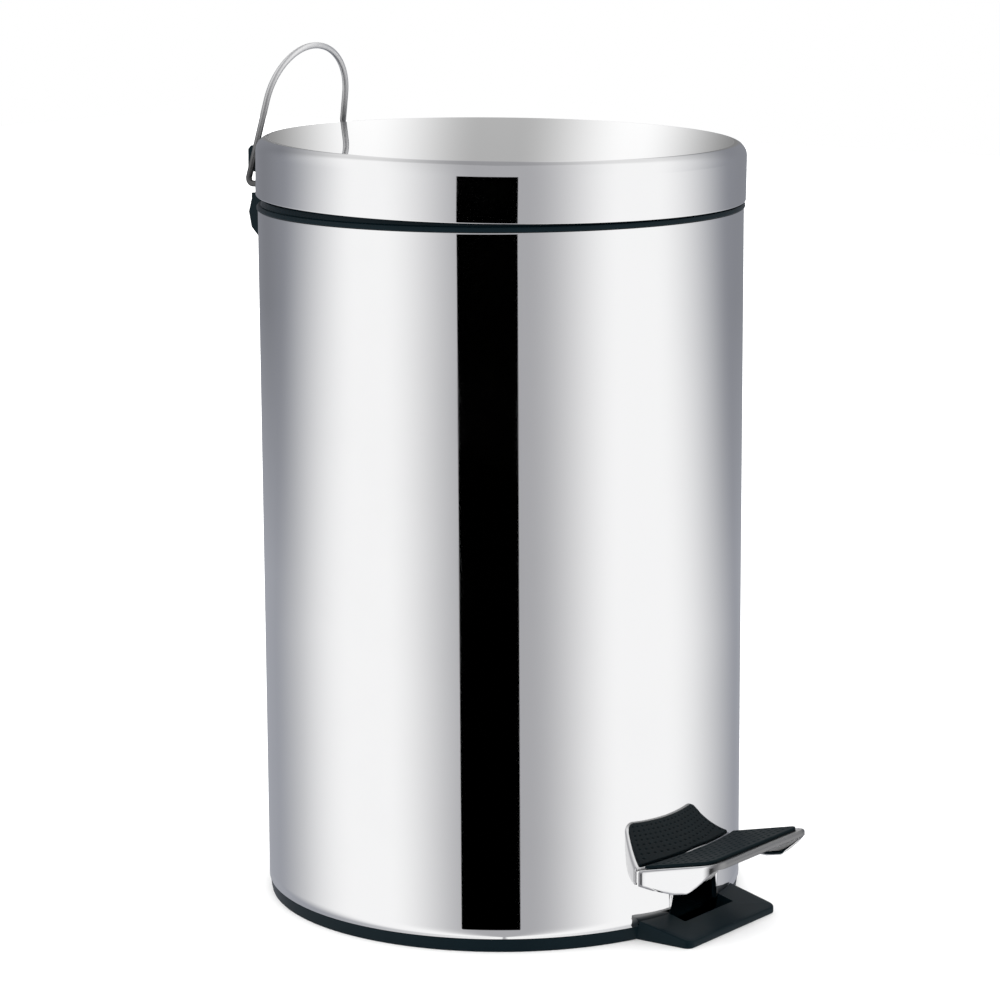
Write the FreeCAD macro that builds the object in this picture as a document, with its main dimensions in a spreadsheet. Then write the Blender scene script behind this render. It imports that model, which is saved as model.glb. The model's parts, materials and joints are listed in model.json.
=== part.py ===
"""Pedal bin: steel body on a moulded base, hinged lid, pedal linkage, lift-out bucket and carry handle.

Frame: origin at the centre of the base on the floor, +Z up, pedal towards -Y, lid hinge towards +Y.
All sizes are millimetres or degrees and live in the spreadsheet "sizes"; every sub-part is bound to it.
"""
import FreeCAD, Part

import math
import os
import re

import Sketcher
from FreeCAD import Placement, Rotation, Vector

SIZES = {
    # steel body
    "body_radius": 125.0,
    "sheet": 0.7,
    "shell_bottom": 7.2,
    "shell_top": 360.5,
    # moulded base with the foot plate
    "base_foot_radius": 123.7,
    "floor_thick": 3.0,
    "spigot_radius": 124.2,
    "spigot_inner": 121.5,
    "spigot_top": 24.0,
    "seat_outer": 100.0,
    "seat_inner": 88.0,
    "seat_top": 27.0,
    "foot_reach": 148.0,
    "foot_root_half": 41.0,
    "foot_front_half": 39.0,
    "foot_root_height": 10.5,
    "foot_front_height": 3.6,
    "slot_half": 21.5,
    "slot_top": 28.0,
    "slot_floor": 1.2,
    "pad_radius": 6.0,
    "pad_ring": 112.0,
    "pad_depth": 2.0,
    # rim ring
    "ring_bulge": 125.6,
    "ring_inner": 118.5,
    "ring_top": 366.0,
    "ring_spigot_bottom": 352.0,
    # hinge
    "hinge_y": 134.0,
    "hinge_z": 367.5,
    "knuckle_radius": 5.2,
    "pin_radius": 2.0,
    "pin_half": 24.5,
    "pin_clear": 0.05,
    "leaf_half": 34.0,
    "leaf_back": 144.1,
    "leaf_back_taper": 142.4,
    "leaf_top_back": 141.9,
    "leaf_swell": 352.0,
    "lid_knuckle_half": 19.6,
    "body_knuckle_start": 20.0,
    "leaf_bottom": 330.0,
    "leaf_chamfer": 344.0,
    "leaf_top_gap": 8.2,
    "heel_drop": 5.3,
    "leaf_screw_x": 28.0,
    "leaf_screw_z": 345.0,
    "leaf_rivet_x": 18.0,
    "leaf_rivet_z": 383.0,
    # lid, drawn level and then leant forward about the hinge
    "lid_radius": 126.0,
    "lid_edge": 368.7,
    "lid_height": 29.5,
    "lid_dome": 1.0,
    "lid_corner": 7.0,
    "lid_hem": 1.5,
    "lid_droop": 1.15,
    "lid_ring_inner": 117.5,
    "bumper_ring": 120.6,
    "lid_leaf_bottom": 373.2,
    "lid_leaf_top": 387.0,
    "lid_leaf_half": 32.6,
    "lid_leaf_back": 145.4,
    # push rod and the tab that it lifts
    "rod_y": 120.5,
    "rod_radius": 2.0,
    "rod_bottom": 10.0,
    "rod_top": 353.6,
    "rod_foot_radius": 3.4,
    "cap_radius": 2.5,
    "cap_centre": 354.3,
    "tab_angle": 35.0,
    "tab_thick": 1.5,
    "tab_half": 6.0,
    # pedal lever
    "pivot_y": -25.0,
    "pivot_z": 7.5,
    "lever_tilt": 2.6,
    "lever_drop": 3.0,
    "lever_thick": 2.5,
    "lever_half": 12.0,
    "lever_rear": 122.4,
    "lever_front": -112.0,
    "pivot_pin": 2.5,
    "arm_half": 19.0,
    "arm_thick": 2.0,
    # pedal
    "pedal_half": 43.0,
    "pedal_reach": 166.5,
    "pedal_wall": 1.2,
    "pedal_corner": 9.0,
    "pedal_gap_radius": 126.0,
    "pedal_root_z": 37.2,
    "pedal_root": 121.0,
    "pedal_slope": 13.6,
    "mat_thick": 1.7,
    "mat_margin": 3.2,
    "mat_front_margin": 5.2,
    "mat_corner": 5.5,
    "tread_rivet_x": 10.0,
    "tread_rivet_reach": 146.0,
    "lever_rivet_x": 7.0,
    "lever_rivet_reach": 105.0,
    # bucket
    "bucket_floor": 27.2,
    "bucket_base_radius": 96.5,
    "bucket_top_radius": 107.5,
    "bucket_wall": 1.5,
    "bucket_rim": 114.0,
    "bucket_rim_z": 350.0,
    "bail_z": 356.9,
    "bail_radius": 104.5,
    "bail_wire": 1.5,
    # carry handle
    "handle_half": 37.1,
    "handle_rise": 73.3,
    "handle_arch": 32.1,
    "handle_wire": 1.65,
    "handle_lean": 12.8,
    "handle_end": 27.0,
    "handle_offset": 7.8,
    "handle_inner_bend": 2.2,
    "handle_outer_bend": 3.0,
}

doc = FreeCAD.newDocument("pedal_bin")
sheet = doc.addObject("Spreadsheet::Sheet", "sizes")
for row, (alias, number) in enumerate(SIZES.items(), start=1):
    sheet.set("A%d" % row, alias)
    sheet.set("B%d" % row, str(number))
    sheet.setAlias("B%d" % row, alias)
doc.recompute()

sub_parts = []


def size(alias):
    """Read one driving dimension back from the sheet."""
    return float(sheet.get(alias))


def bind(item, prop, formula):
    """Bind a property to a formula written with the sheet's aliases."""
    item.setExpression(prop, re.sub(r"[a-z_]+", with_sheet, str(formula)))


def with_sheet(match):
    word = match.group(0)
    return "sizes." + word if word in SIZES else word


def finish(item, label, placement=None):
    """Name a finished sub-part and list it for writing."""
    item.Label = label
    if placement is not None:
        item.Placement = placement
    sub_parts.append(item)
    return item


# ---------------------------------------------------------------- sketch-based pieces


def plane_of(body, role):
    return [item for item in body.Origin.OriginFeatures if item.Role == role][0]


def outline(body, name, role, points):
    """Closed polygon on one of the body's own planes; each corner is a pair of formulas."""
    sketch = body.newObject("Sketcher::SketchObject", name)
    sketch.AttachmentSupport = (plane_of(body, role), [""])
    sketch.MapMode = "FlatFace"
    count = len(points)
    start = [Vector(math.cos(2 * math.pi * i / count), math.sin(2 * math.pi * i / count), 0) * 10
             for i in range(count)]
    for i in range(count):
        sketch.addGeometry(Part.LineSegment(start[i], start[(i + 1) % count]))
    for i in range(count):
        sketch.addConstraint(Sketcher.Constraint("Coincident", i, 2, (i + 1) % count, 1))
    for i, corner in enumerate(points):
        for kind, axis, formula in (("DistanceX", -2, corner[0]), ("DistanceY", -1, corner[1])):
            if str(formula) == "0":
                sketch.addConstraint(Sketcher.Constraint("PointOnObject", i, 1, axis))
                continue
            index = sketch.addConstraint(Sketcher.Constraint(kind, -1, 1, i, 1, 10.0))
            bind(sketch, "Constraints[%d]" % index, formula)
    return sketch


def turned(name, points):
    """Revolved piece: corners are (radius, height) about the vertical axis."""
    body = doc.addObject("PartDesign::Body", name)
    profile = outline(body, name + "_profile", "YZ_Plane", points)
    feature = body.newObject("PartDesign::Revolution", name + "_turn")
    feature.Profile = profile
    feature.ReferenceAxis = (profile, ["V_Axis"])
    feature.Angle = 360
    doc.recompute()
    return body


def extruded(name, role, points, length):
    """Piece of constant section, extruded evenly to both sides of the plane."""
    body = doc.addObject("PartDesign::Body", name)
    profile = outline(body, name + "_profile", role, points)
    feature = body.newObject("PartDesign::Pad", name + "_pad")
    feature.Profile = profile
    feature.SideType = "Symmetric"
    bind(feature, "Length", length)
    doc.recompute()
    return body


def strip(name, points, half):
    """Bent strip or block seen from the side: corners are (y, z), width is twice half."""
    return extruded(name, "YZ_Plane", points, "2 * (%s)" % half)


def plan(name, points, height):
    """Upright prism over a plan outline: corners are (x, y)."""
    return extruded(name, "XY_Plane", points, "2 * (%s)" % height)


def round_edges(body, name, radius, chosen):
    """Fillet the edges of the body's tip that the test picks."""
    base = body.Tip
    edges = ["Edge%d" % (i + 1) for i, edge in enumerate(base.Shape.Edges) if chosen(edge)]
    feature = body.newObject("PartDesign::Fillet", name)
    feature.Base = (base, edges)
    bind(feature, "Radius", radius)
    doc.recompute()
    return body


def is_upright(edge):
    ends = [vertex.Point for vertex in edge.Vertexes]
    return len(ends) == 2 and abs(ends[0].x - ends[1].x) < 0.01 and abs(ends[0].y - ends[1].y) < 0.01


# ---------------------------------------------------------------- primitives and booleans


def box(name, low, high):
    """Box from its low corner to its high corner, given as formulas."""
    item = doc.addObject("Part::Box", name)
    for prop, coordinate, start, end in zip(("Length", "Width", "Height"), "xyz", low, high):
        bind(item, "Placement.Base.%s" % coordinate, start)
        bind(item, prop, "(%s) - (%s)" % (end, start))
    return item


ALONG = {
    "x": Rotation(Vector(0, 1, 0), 90),
    "y": Rotation(Vector(1, 0, 0), -90),
    "z": Rotation(),
}


def rod(name, radius, start, length, along):
    """Round bar that starts at a point and runs along an axis."""
    item = doc.addObject("Part::Cylinder", name)
    item.Placement = Placement(Vector(), ALONG[along])
    for coordinate, formula in zip("xyz", start):
        bind(item, "Placement.Base.%s" % coordinate, formula)
    bind(item, "Radius", radius)
    bind(item, "Height", length)
    return item


def joined(name, *items):
    result = doc.addObject("Part::MultiFuse", name)
    result.Shapes = list(items)
    return result


def shared(name, first, second):
    result = doc.addObject("Part::MultiCommon", name)
    result.Shapes = [first, second]
    return result


def cut(name, base, *tools):
    result = doc.addObject("Part::Cut", name)
    result.Base = base
    result.Tool = tools[0] if len(tools) == 1 else joined(name + "_tools", *tools)
    return result


def tube(name, outer, inner, start, length, along):
    return cut(name, rod(name + "_outer", outer, start, length, along),
               rod(name + "_bore", inner, start, length, along))


def group(name, items):
    """Several separate solids that share one node."""
    result = doc.addObject("Part::Compound", name)
    result.Links = items
    return result


def both_sides(make):
    """Call a maker for the right and left side: it gets a tag and a sign."""
    return [make("right", 1), make("left", -1)]


def screw_place(sign, start):
    """Start of a hinge screw or of its hole, on the right or left side."""
    return ("leaf_screw_x * %d" % sign, start, "leaf_screw_z")


def rivet_place(sign, start):
    """Start of a lid rivet or of its hole, on the right or left side."""
    return ("leaf_rivet_x * %d" % sign, start, "leaf_rivet_z")


def lever_place(sign, start):
    """Start of a rivet through the lever, or of its hole."""
    return ("lever_rivet_x * %d" % sign, "-lever_rivet_reach", start)


def tread_place(sign, start):
    """Start of a rivet through the tread, or of its hole."""
    return ("tread_rivet_x * %d" % sign, "-tread_rivet_reach", start)


# ---------------------------------------------------------------- steel body and rim


def body_shell():
    wall = turned("shell_wall", [
        ("body_radius - sheet", "shell_bottom"), ("body_radius", "shell_bottom"),
        ("body_radius", "shell_top"), ("body_radius - sheet", "shell_top")])
    slot = box("shell_slot", ("-slot_half", "-body_radius - 1", "shell_bottom - 1"),
               ("slot_half", "-spigot_inner + 3", "slot_top"))
    holes = both_sides(lambda tag, sign: rod("shell_hole_" + tag, "2", screw_place(sign, 110), 30, "y"))
    finish(cut("shell", wall, slot, *holes), "body_shell")


def rim_ring():
    ring = turned("ring_turned", [
        ("ring_inner + 1", "ring_spigot_bottom"), ("spigot_radius", "ring_spigot_bottom"),
        ("spigot_radius", "shell_top"), ("ring_bulge", "shell_top"),
        ("ring_bulge", "shell_top + 1.4"), ("ring_bulge - 0.7", "shell_top + 2.3"),
        ("spigot_radius - 0.8", "shell_top + 2.6"), ("spigot_radius - 1.4", "ring_top"),
        ("ring_inner", "ring_top"), ("ring_inner", "ring_top - 6")])
    notch = box("ring_notch", (-12, 100, "ring_spigot_bottom - 1"), (12, 123.3, "ring_top + 1"))
    finish(cut("ring", ring, notch), "rim_ring")


# ---------------------------------------------------------------- moulded base


def foot_plate():
    """Wedge that stands out under the pedal."""
    side = strip("foot_side", [
        (-100, 0), (-100, "foot_root_height"), ("-body_radius + 4", "foot_root_height"),
        ("-foot_reach", "foot_front_height"), ("-foot_reach", 0)], 60)
    top = plan("foot_plan", [
        ("foot_root_half", -100), ("foot_root_half", "-body_radius + 7"),
        ("foot_front_half", "-foot_reach"), ("-foot_front_half", "-foot_reach"),
        ("-foot_root_half", "-body_radius + 7"), ("-foot_root_half", -100)], 30)
    round_edges(top, "foot_corners", 4, lambda e: is_upright(e) and e.Vertexes[0].Y < -size("foot_reach") + 1)
    return shared("foot", side, top)


def pad_places():
    for number in range(4):
        angle = math.radians(45 + 90 * number)
        yield number, "pad_ring * %.6f" % math.cos(angle), "pad_ring * %.6f" % math.sin(angle)


def base_moulding():
    dish = turned("base_dish", [
        (0, 0), ("base_foot_radius", 0), ("body_radius - 0.2", "shell_bottom"),
        ("spigot_radius", "shell_bottom"), ("spigot_radius", "spigot_top"),
        ("spigot_inner", "spigot_top"), ("spigot_inner", "floor_thick"), (0, "floor_thick")])
    seat = tube("base_seat", "seat_outer", "seat_inner", (0, 0, "floor_thick - 1"),
                "seat_top - floor_thick + 1", "z")
    hollow = rod("base_hollow", "spigot_inner", (0, 0, "floor_thick"), 40, "z")
    shell_room = rod("base_shell_room", "body_radius + 0.02", (0, 0, "shell_bottom"), 40, "z")
    foot = cut("base_foot", foot_plate(), hollow, shell_room)
    lever_way = box("base_lever_way", (-20.5, -110, "floor_thick"), (20.5, 110, "seat_top + 1"))
    slot = box("base_slot", ("-slot_half", "-body_radius - 8", "slot_floor"),
               ("slot_half", -96, "spigot_top + 1"))
    rod_way = box("base_rod_way", (-13, 112, "floor_thick"), (13, 122.9, "shell_bottom + 1"))
    rod_gap = box("base_rod_gap", (-13, 112, "shell_bottom - 0.4"), (13, "spigot_radius + 0.15", "spigot_top + 1"))
    recesses = [rod("pad_recess_%d" % n, "pad_radius + 0.05", (x, y, -1), "pad_depth + 1", "z")
                for n, x, y in pad_places()]
    solid = joined("base_solid", dish, seat, foot)
    finish(cut("base", solid, lever_way, slot, rod_way, rod_gap, *recesses), "base_moulding")


def anti_slip_feet():
    pads = [rod("pad_%d" % n, "pad_radius", (x, y, 0), "pad_depth", "z") for n, x, y in pad_places()]
    finish(group("pads", pads), "anti_slip_feet")


# ---------------------------------------------------------------- hinge


def body_hinge_leaf():
    plate = strip("body_leaf_plate", [
        (108, "leaf_bottom"), ("body_radius + 3", "leaf_bottom"), ("leaf_back_taper", "leaf_chamfer"),
        ("leaf_back", "leaf_swell"), ("leaf_top_back", "hinge_z - leaf_top_gap"), (108, "hinge_z - leaf_top_gap")], "leaf_half")
    behind = rod("body_leaf_seat", "body_radius + pin_clear", (0, 0, 300), 80, "z")

    def knuckle(tag, sign):
        """Barrel on the hinge line, its web, and the heel that meets the plate's back face."""
        start = "body_knuckle_start" if sign > 0 else "-leaf_half"
        length = "leaf_half - body_knuckle_start"
        far = "%s + %s" % (start, length)
        foot = "hinge_z - leaf_top_gap - 0.5"
        barrel = rod("body_knuckle_" + tag, "knuckle_radius", (start, "hinge_y", "hinge_z"), length, "x")
        web = box("body_web_" + tag, (start, "hinge_y - knuckle_radius", foot),
                  (far, "hinge_y + knuckle_radius", "hinge_z"))
        heel = box("body_heel_" + tag, (start, "hinge_y", foot), (far, "leaf_top_back", "hinge_z - heel_drop"))
        return joined("body_knuckle_block_" + tag, barrel, web, heel)

    solid = joined("body_leaf_solid", plate, *both_sides(knuckle))
    pin_bore = rod("body_pin_bore", "pin_radius + pin_clear",
                   ("-pin_half - 0.5", "hinge_y", "hinge_z"), "2 * pin_half + 1", "x")
    end_bore = rod("body_end_bore", "handle_wire + pin_clear", (-60, "hinge_y", "hinge_z"), 120, "x")
    screw_bores = both_sides(lambda tag, sign: rod("leaf_bore_" + tag, 1.8, screw_place(sign, 110), 21.5, "y"))
    finish(cut("body_leaf", solid, behind, pin_bore, end_bore, *screw_bores), "body_hinge_leaf")


def hinge_backing_plate():
    ring = tube("backing_ring", "body_radius - sheet - 0.05", "body_radius - 2.2", (0, 0, 338), 13.5, "z")
    window = box("backing_window", (-34, 60, 330), (34, 130, 360))
    holes = both_sides(lambda tag, sign: rod("backing_hole_" + tag, 2, screw_place(sign, 100), 40, "y"))
    rod_room = box("backing_rod_room", (-5, 60, 343), (5, 130, 360))
    finish(cut("backing", shared("backing_arc", ring, window), rod_room, *holes), "hinge_backing_plate")


def body_hinge_screws():
    def screw(tag, sign):
        head = rod("screw_head_" + tag, 3.4, screw_place(sign, 116.2), 2.2, "y")
        shank = rod("screw_shank_" + tag, 1.75, screw_place(sign, 117), 14, "y")
        return joined("screw_" + tag, head, shank)

    finish(group("hinge_screws", both_sides(screw)), "body_hinge_screws")


def hinge_pin():
    finish(rod("pin", "pin_radius", ("-pin_half", "hinge_y", "hinge_z"), "2 * pin_half", "x"), "hinge_pin")


# ---------------------------------------------------------------- lid


def lid_lean():
    """The closed lid leans forward about the hinge by the droop angle."""
    return Placement(Vector(), Rotation(Vector(1, 0, 0), size("lid_droop")),
                     Vector(0, size("hinge_y"), size("hinge_z")))


def lid_shell():
    cap = turned("lid_cap", [
        ("lid_radius", "lid_edge"), ("lid_radius", "lid_edge + lid_height"),
        (0, "lid_edge + lid_height + lid_dome"), (0, "lid_edge + lid_height + lid_dome - sheet"),
        ("lid_radius - sheet", "lid_edge + lid_height - sheet"),
        ("lid_radius - sheet", "lid_edge + lid_hem"), ("lid_radius - lid_hem", "lid_edge + lid_hem"),
        ("lid_radius - lid_hem", "lid_edge")])

    def at_corner(radius):
        level = size("lid_edge") + size("lid_height")
        return lambda e: (hasattr(e.Curve, "Radius") and abs(e.Curve.Radius - radius) < 0.01
                          and abs(e.Vertexes[0].Z - level) < 1.5)

    round_edges(cap, "lid_outer_corner", "lid_corner", at_corner(size("lid_radius")))
    round_edges(cap, "lid_inner_corner", "lid_corner - sheet", at_corner(size("lid_radius") - size("sheet")))
    holes = both_sides(lambda tag, sign: rod("lid_hole_" + tag, 2, rivet_place(sign, 100), 40, "y"))
    finish(cut("lid", cap, *holes), "lid_shell", lid_lean())


def lid_inner_ring():
    ring = turned("lid_ring_turned", [
        ("lid_ring_inner", "lid_edge + 4.5"), ("lid_radius - sheet - 0.1", "lid_edge + 4.5"),
        ("lid_radius - sheet - 0.1", "lid_edge + 9.5"), ("lid_radius - 3", "lid_edge + 9.5"),
        ("lid_radius - 4", "lid_edge + 6.5"), ("lid_ring_inner", "lid_edge + 6.5")])
    notch = box("lid_ring_notch", (-14, 100, 360), (14, 140, 390))
    finish(cut("lid_ring", ring, notch), "lid_inner_ring", lid_lean())


def lid_bumpers():
    """Four soft stops that reach down to just above the rim ring."""
    def bumper(number):
        angle = math.radians(45 + 90 * number)
        x, y = size("bumper_ring") * math.cos(angle), size("bumper_ring") * math.sin(angle)
        bottom = "ring_top + 0.4 + (hinge_y - (%.4f)) * tan(lid_droop)" % y
        item = rod("bumper_%d" % number, 2, ("%.4f" % x, "%.4f" % y, bottom), 1, "z")
        bind(item, "Height", "lid_edge + 4.5 - (%s)" % bottom)
        return item

    finish(group("bumpers", [bumper(number) for number in range(4)]), "lid_bumpers", lid_lean())


def lid_hinge_leaf():
    block = strip("lid_leaf_block", [
        (112, "lid_leaf_bottom"), ("lid_leaf_back", "lid_leaf_bottom"),
        ("lid_leaf_back", "lid_leaf_top - 2"), ("lid_leaf_back - 2", "lid_leaf_top"),
        (112, "lid_leaf_top")], "lid_leaf_half")
    seat = rod("lid_leaf_seat", "lid_radius + pin_clear", (0, 0, 360), 40, "z")
    web = box("lid_web", ("-lid_knuckle_half", "hinge_y - knuckle_radius", "hinge_z"),
              ("lid_knuckle_half", "hinge_y + knuckle_radius", "lid_leaf_bottom + 1"))
    barrel = rod("lid_knuckle", "knuckle_radius", ("-lid_knuckle_half", "hinge_y", "hinge_z"),
                 "2 * lid_knuckle_half", "x")
    bore = rod("lid_knuckle_bore", "pin_radius + pin_clear", (-25, "hinge_y", "hinge_z"), 50, "x")
    holes = both_sides(lambda tag, sign: rod("lid_leaf_hole_" + tag, 1.9, rivet_place(sign, 110), 24.1, "y"))
    solid = joined("lid_leaf_solid", block, web, barrel)
    finish(cut("lid_leaf", solid, seat, bore, *holes), "lid_hinge_leaf", lid_lean())


def lid_clamp_plate():
    ring = tube("clamp_ring", "lid_radius - sheet - 0.1", "lid_radius - 2.2", (0, 0, 379), 8, "z")
    window = box("clamp_window", (-26, 60, 370), (26, 130, 390))
    holes = both_sides(lambda tag, sign: rod("clamp_hole_" + tag, 2, rivet_place(sign, 100), 40, "y"))
    finish(cut("clamp", shared("clamp_arc", ring, window), *holes), "lid_clamp_plate", lid_lean())


def lid_lift_tab():
    """Bent strip: a sloping toe whose underside points at the hinge axis, a riser and a fixing flange.

    It is drawn where it stands with the lid closed, so it needs no lean of its own.
    """
    def toe(along, above):
        return ("hinge_y - %s * cos(tab_angle) - %s * sin(tab_angle)" % (along, above),
                "hinge_z - %s * sin(tab_angle) + %s * cos(tab_angle)" % (along, above))

    tab = strip("lift_tab", [
        toe(13.4, 0), toe(21.5, 0), ("hinge_y - 19", "hinge_z - 11.4"), ("hinge_y - 19", "hinge_z + 10.5"),
        ("hinge_y - 12.3", "hinge_z + 10.5"), ("hinge_y - 12.3", "hinge_z + 19"),
        ("hinge_y - 12.3 + tab_thick", "hinge_z + 19"), ("hinge_y - 12.3 + tab_thick", "hinge_z + 9"),
        ("hinge_y - 19 + tab_thick", "hinge_z + 9"), ("hinge_y - 19 + tab_thick", "hinge_z - 10.2"),
        toe(13.4, "tab_thick")], "tab_half")
    finish(tab, "lid_lift_tab")


def lid_rivets():
    def rivet(tag, sign):
        head = rod("rivet_head_" + tag, 3.2, rivet_place(sign, 119.8), 2, "y")
        shank = rod("rivet_shank_" + tag, 1.85, rivet_place(sign, 121), 13, "y")
        return joined("rivet_" + tag, head, shank)

    finish(group("rivets", both_sides(rivet)), "lid_rivets", lid_lean())


# ---------------------------------------------------------------- pedal linkage


def web_z(y, above):
    """Height on the lever strip at a given y, above the pivot's centre line."""
    return "pivot_z + %s - (%s - pivot_y) * tan(lever_tilt)" % (above, y)


def pedal_lever():
    web = strip("lever_web", [
        ("lever_front", web_z("lever_front", "lever_drop")), ("lever_rear", web_z("lever_rear", "lever_drop")),
        ("lever_rear", web_z("lever_rear", "lever_drop + lever_thick")),
        ("lever_front", web_z("lever_front", "lever_drop + lever_thick"))], "lever_half")
    cheeks = strip("lever_cheeks", [
        ("pivot_y - 20", "pivot_z + 2"), ("pivot_y - 6", "pivot_z - 3"), ("pivot_y + 6", "pivot_z - 3"),
        ("pivot_y + 20", "pivot_z + 2"), ("pivot_y + 20", "pivot_z + 3.5"),
        ("pivot_y - 20", "pivot_z + 4.5")], "lever_half")
    gap = strip("lever_gap", [
        ("pivot_y - 21", "pivot_z - 6"), ("pivot_y + 21", "pivot_z - 6"),
        ("pivot_y + 21", web_z("pivot_y + 21", "lever_drop")),
        ("pivot_y - 21", web_z("pivot_y - 21", "lever_drop"))], "lever_half - 2")
    bore = rod("lever_bore", "pivot_pin + pin_clear", (-30, "pivot_y", "pivot_z"), 60, "x")
    holes = both_sides(lambda tag, sign: rod("lever_hole_" + tag, 2, lever_place(sign, 0), 40, "z"))
    lever = joined("lever_solid", web, cut("lever_channel", cheeks, gap))
    finish(cut("lever", lever, bore, *holes), "pedal_lever")


def plate_z(reach, below):
    """Height of the pedal plate at a distance in front of the centre, less some depth."""
    return "pedal_root_z + (%s - pedal_root) * tan(pedal_slope) - (%s)" % (reach, below)


def pedal_arm():
    """Wide strip from the top of the lever, out through the slot and up under the pedal."""
    def on_lever(reach, above):
        return ("-(%s)" % reach, web_z("-(%s)" % reach, "lever_drop + lever_thick + %s" % above))

    def under_plate(reach, depth):
        return ("-(%s)" % reach, plate_z(reach, "pedal_wall * 1.03 + %s" % depth))

    arm = strip("arm_strip", [
        on_lever(98, 0), on_lever(121, 0), under_plate(137.5, "arm_thick * 1.03"),
        under_plate(152, "arm_thick * 1.03"), under_plate(152, 0), under_plate(136.3, 0),
        on_lever(119.9, "arm_thick"), on_lever(98, "arm_thick")], "arm_half")
    holes = both_sides(lambda tag, sign: rod("arm_hole_" + tag, 2, lever_place(sign, 0), 40, "z"))
    plate_holes = both_sides(lambda tag, sign: rod("arm_plate_hole_" + tag, 2, tread_place(sign, 30), 40, "z"))
    finish(cut("arm", arm, *holes, *plate_holes), "pedal_arm")


def pedal_outline(name, inset, corner, front_inset=None):
    """Upright prism over the pedal's plan, rounded at its front corners."""
    half = "pedal_half - (%s)" % inset
    reach = "pedal_reach - (%s)" % (inset if front_inset is None else front_inset)
    prism = plan(name, [(half, -90), (half, "-(%s)" % reach), ("-(%s)" % half, "-(%s)" % reach),
                        ("-(%s)" % half, -90)], 80)
    return round_edges(prism, name + "_corners", corner, lambda e: is_upright(e) and e.Vertexes[0].Y < -120)


def pedal_plate():
    """Pressed steel tread with a turned-down edge that is deeper towards the body."""
    whole = strip("plate_side", [
        (-115, plate_z(115, 0)), (-170, plate_z(170, 0)), (-170, 45.4), (-164.5, 44.6), (-156, 36.0),
        (-149, 30.2), (-140, 28.2), (-127, 28), (-115, 29)], 60)
    inside = strip("plate_inside", [
        (-100, plate_z(100, "pedal_wall * 1.03")), (-170, plate_z(170, "pedal_wall * 1.03")),
        (-170, 10), (-100, 10)], 60)
    outer = shared("plate_outer", whole, pedal_outline("plate_plan", 0, "pedal_corner"))
    inner = shared("plate_inner", inside,
                   pedal_outline("plate_inner_plan", "pedal_wall", "pedal_corner - pedal_wall"))
    body_gap = rod("plate_body_gap", "pedal_gap_radius", (0, 0, 0), 80, "z")
    holes = both_sides(lambda tag, sign: rod("plate_hole_" + tag, 2, tread_place(sign, 30), 40, "z"))
    finish(cut("plate", outer, inner, body_gap, *holes), "pedal_plate")


def pedal_mat():
    slab = strip("mat_side", [
        (-115, plate_z(115, 0)), (-170, plate_z(170, 0)), (-170, plate_z(170, "-mat_thick")),
        (-115, plate_z(115, "-mat_thick"))], 60)
    sheet_part = shared("mat_slab", slab, pedal_outline("mat_plan", "mat_margin", "mat_corner", "mat_front_margin"))
    body_gap = rod("mat_body_gap", "pedal_gap_radius + 0.4", (0, 0, 0), 80, "z")
    finish(cut("mat", sheet_part, body_gap), "pedal_mat")


def pedal_rivets():
    def lever_rivet(tag, sign):
        shank = rod("lever_shank_" + tag, 1.95, lever_place(sign, 14.3), 5.0, "z")
        head = rod("lever_head_" + tag, 3.4, lever_place(sign, 18.85), 1.4, "z")
        return joined("lever_rivet_" + tag, shank, head)

    def plate_rivet(tag, sign):
        shank = rod("plate_shank_" + tag, 1.95, tread_place(sign, 38.5), 4.2, "z")
        head = rod("plate_head_" + tag, 3.4, tread_place(sign, 37.4), 1.6, "z")
        return joined("plate_rivet_" + tag, shank, head)

    finish(group("linkage_rivets", both_sides(lever_rivet) + both_sides(plate_rivet)), "pedal_rivets")


def pivot_brackets():
    """Two angle brackets; each foot is set back so that the pin's clip has room."""
    def bracket(tag, sign):
        low, high = (13.5, 15.5) if sign > 0 else (-15.5, -13.5)
        foot_low, foot_high = (15.0, 26.0) if sign > 0 else (-26.0, -15.0)
        lug = box("lug_" + tag, (low, "pivot_y - 8", "floor_thick"), (high, "pivot_y + 14", "pivot_z + 5"))
        foot = box("lug_foot_" + tag, (foot_low, "pivot_y + 4.4", "floor_thick"),
                   (foot_high, "pivot_y + 14", "floor_thick + 1.6"))
        bore = rod("lug_bore_" + tag, "pivot_pin + 0.02", (-30, "pivot_y", "pivot_z"), 60, "x")
        hole = rod("lug_hole_" + tag, 1.6, (21 * sign, "pivot_y + 9.2", 0), 10, "z")
        return cut("bracket_" + tag, joined("bracket_solid_" + tag, lug, foot), bore, hole)

    finish(group("brackets", both_sides(bracket)), "pivot_brackets")


def bracket_screws():
    """Self-tapping screws; only the heads and the shanks inside the bracket's feet are modelled."""
    def screw(tag, sign):
        at = (21 * sign, "pivot_y + 9.2")
        head = rod("bracket_head_" + tag, 2.8, at + ("floor_thick + 1.65",), 1.8, "z")
        shank = rod("bracket_shank_" + tag, 1.5, at + ("floor_thick + 0.02",), 2, "z")
        return joined("bracket_screw_" + tag, head, shank)

    finish(group("floor_screws", both_sides(screw)), "bracket_screws")


def lever_pivot_pin():
    finish(rod("lever_pin", "pivot_pin", (-18, "pivot_y", "pivot_z"), 36, "x"), "lever_pivot_pin")


def pivot_clips():
    def clip(tag, sign):
        start = 15.7 if sign > 0 else -16.7
        return tube("clip_" + tag, 4.2, "pivot_pin + 0.02", (start, "pivot_y", "pivot_z"), 1, "x")

    finish(group("clips", both_sides(clip)), "pivot_clips")


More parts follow.
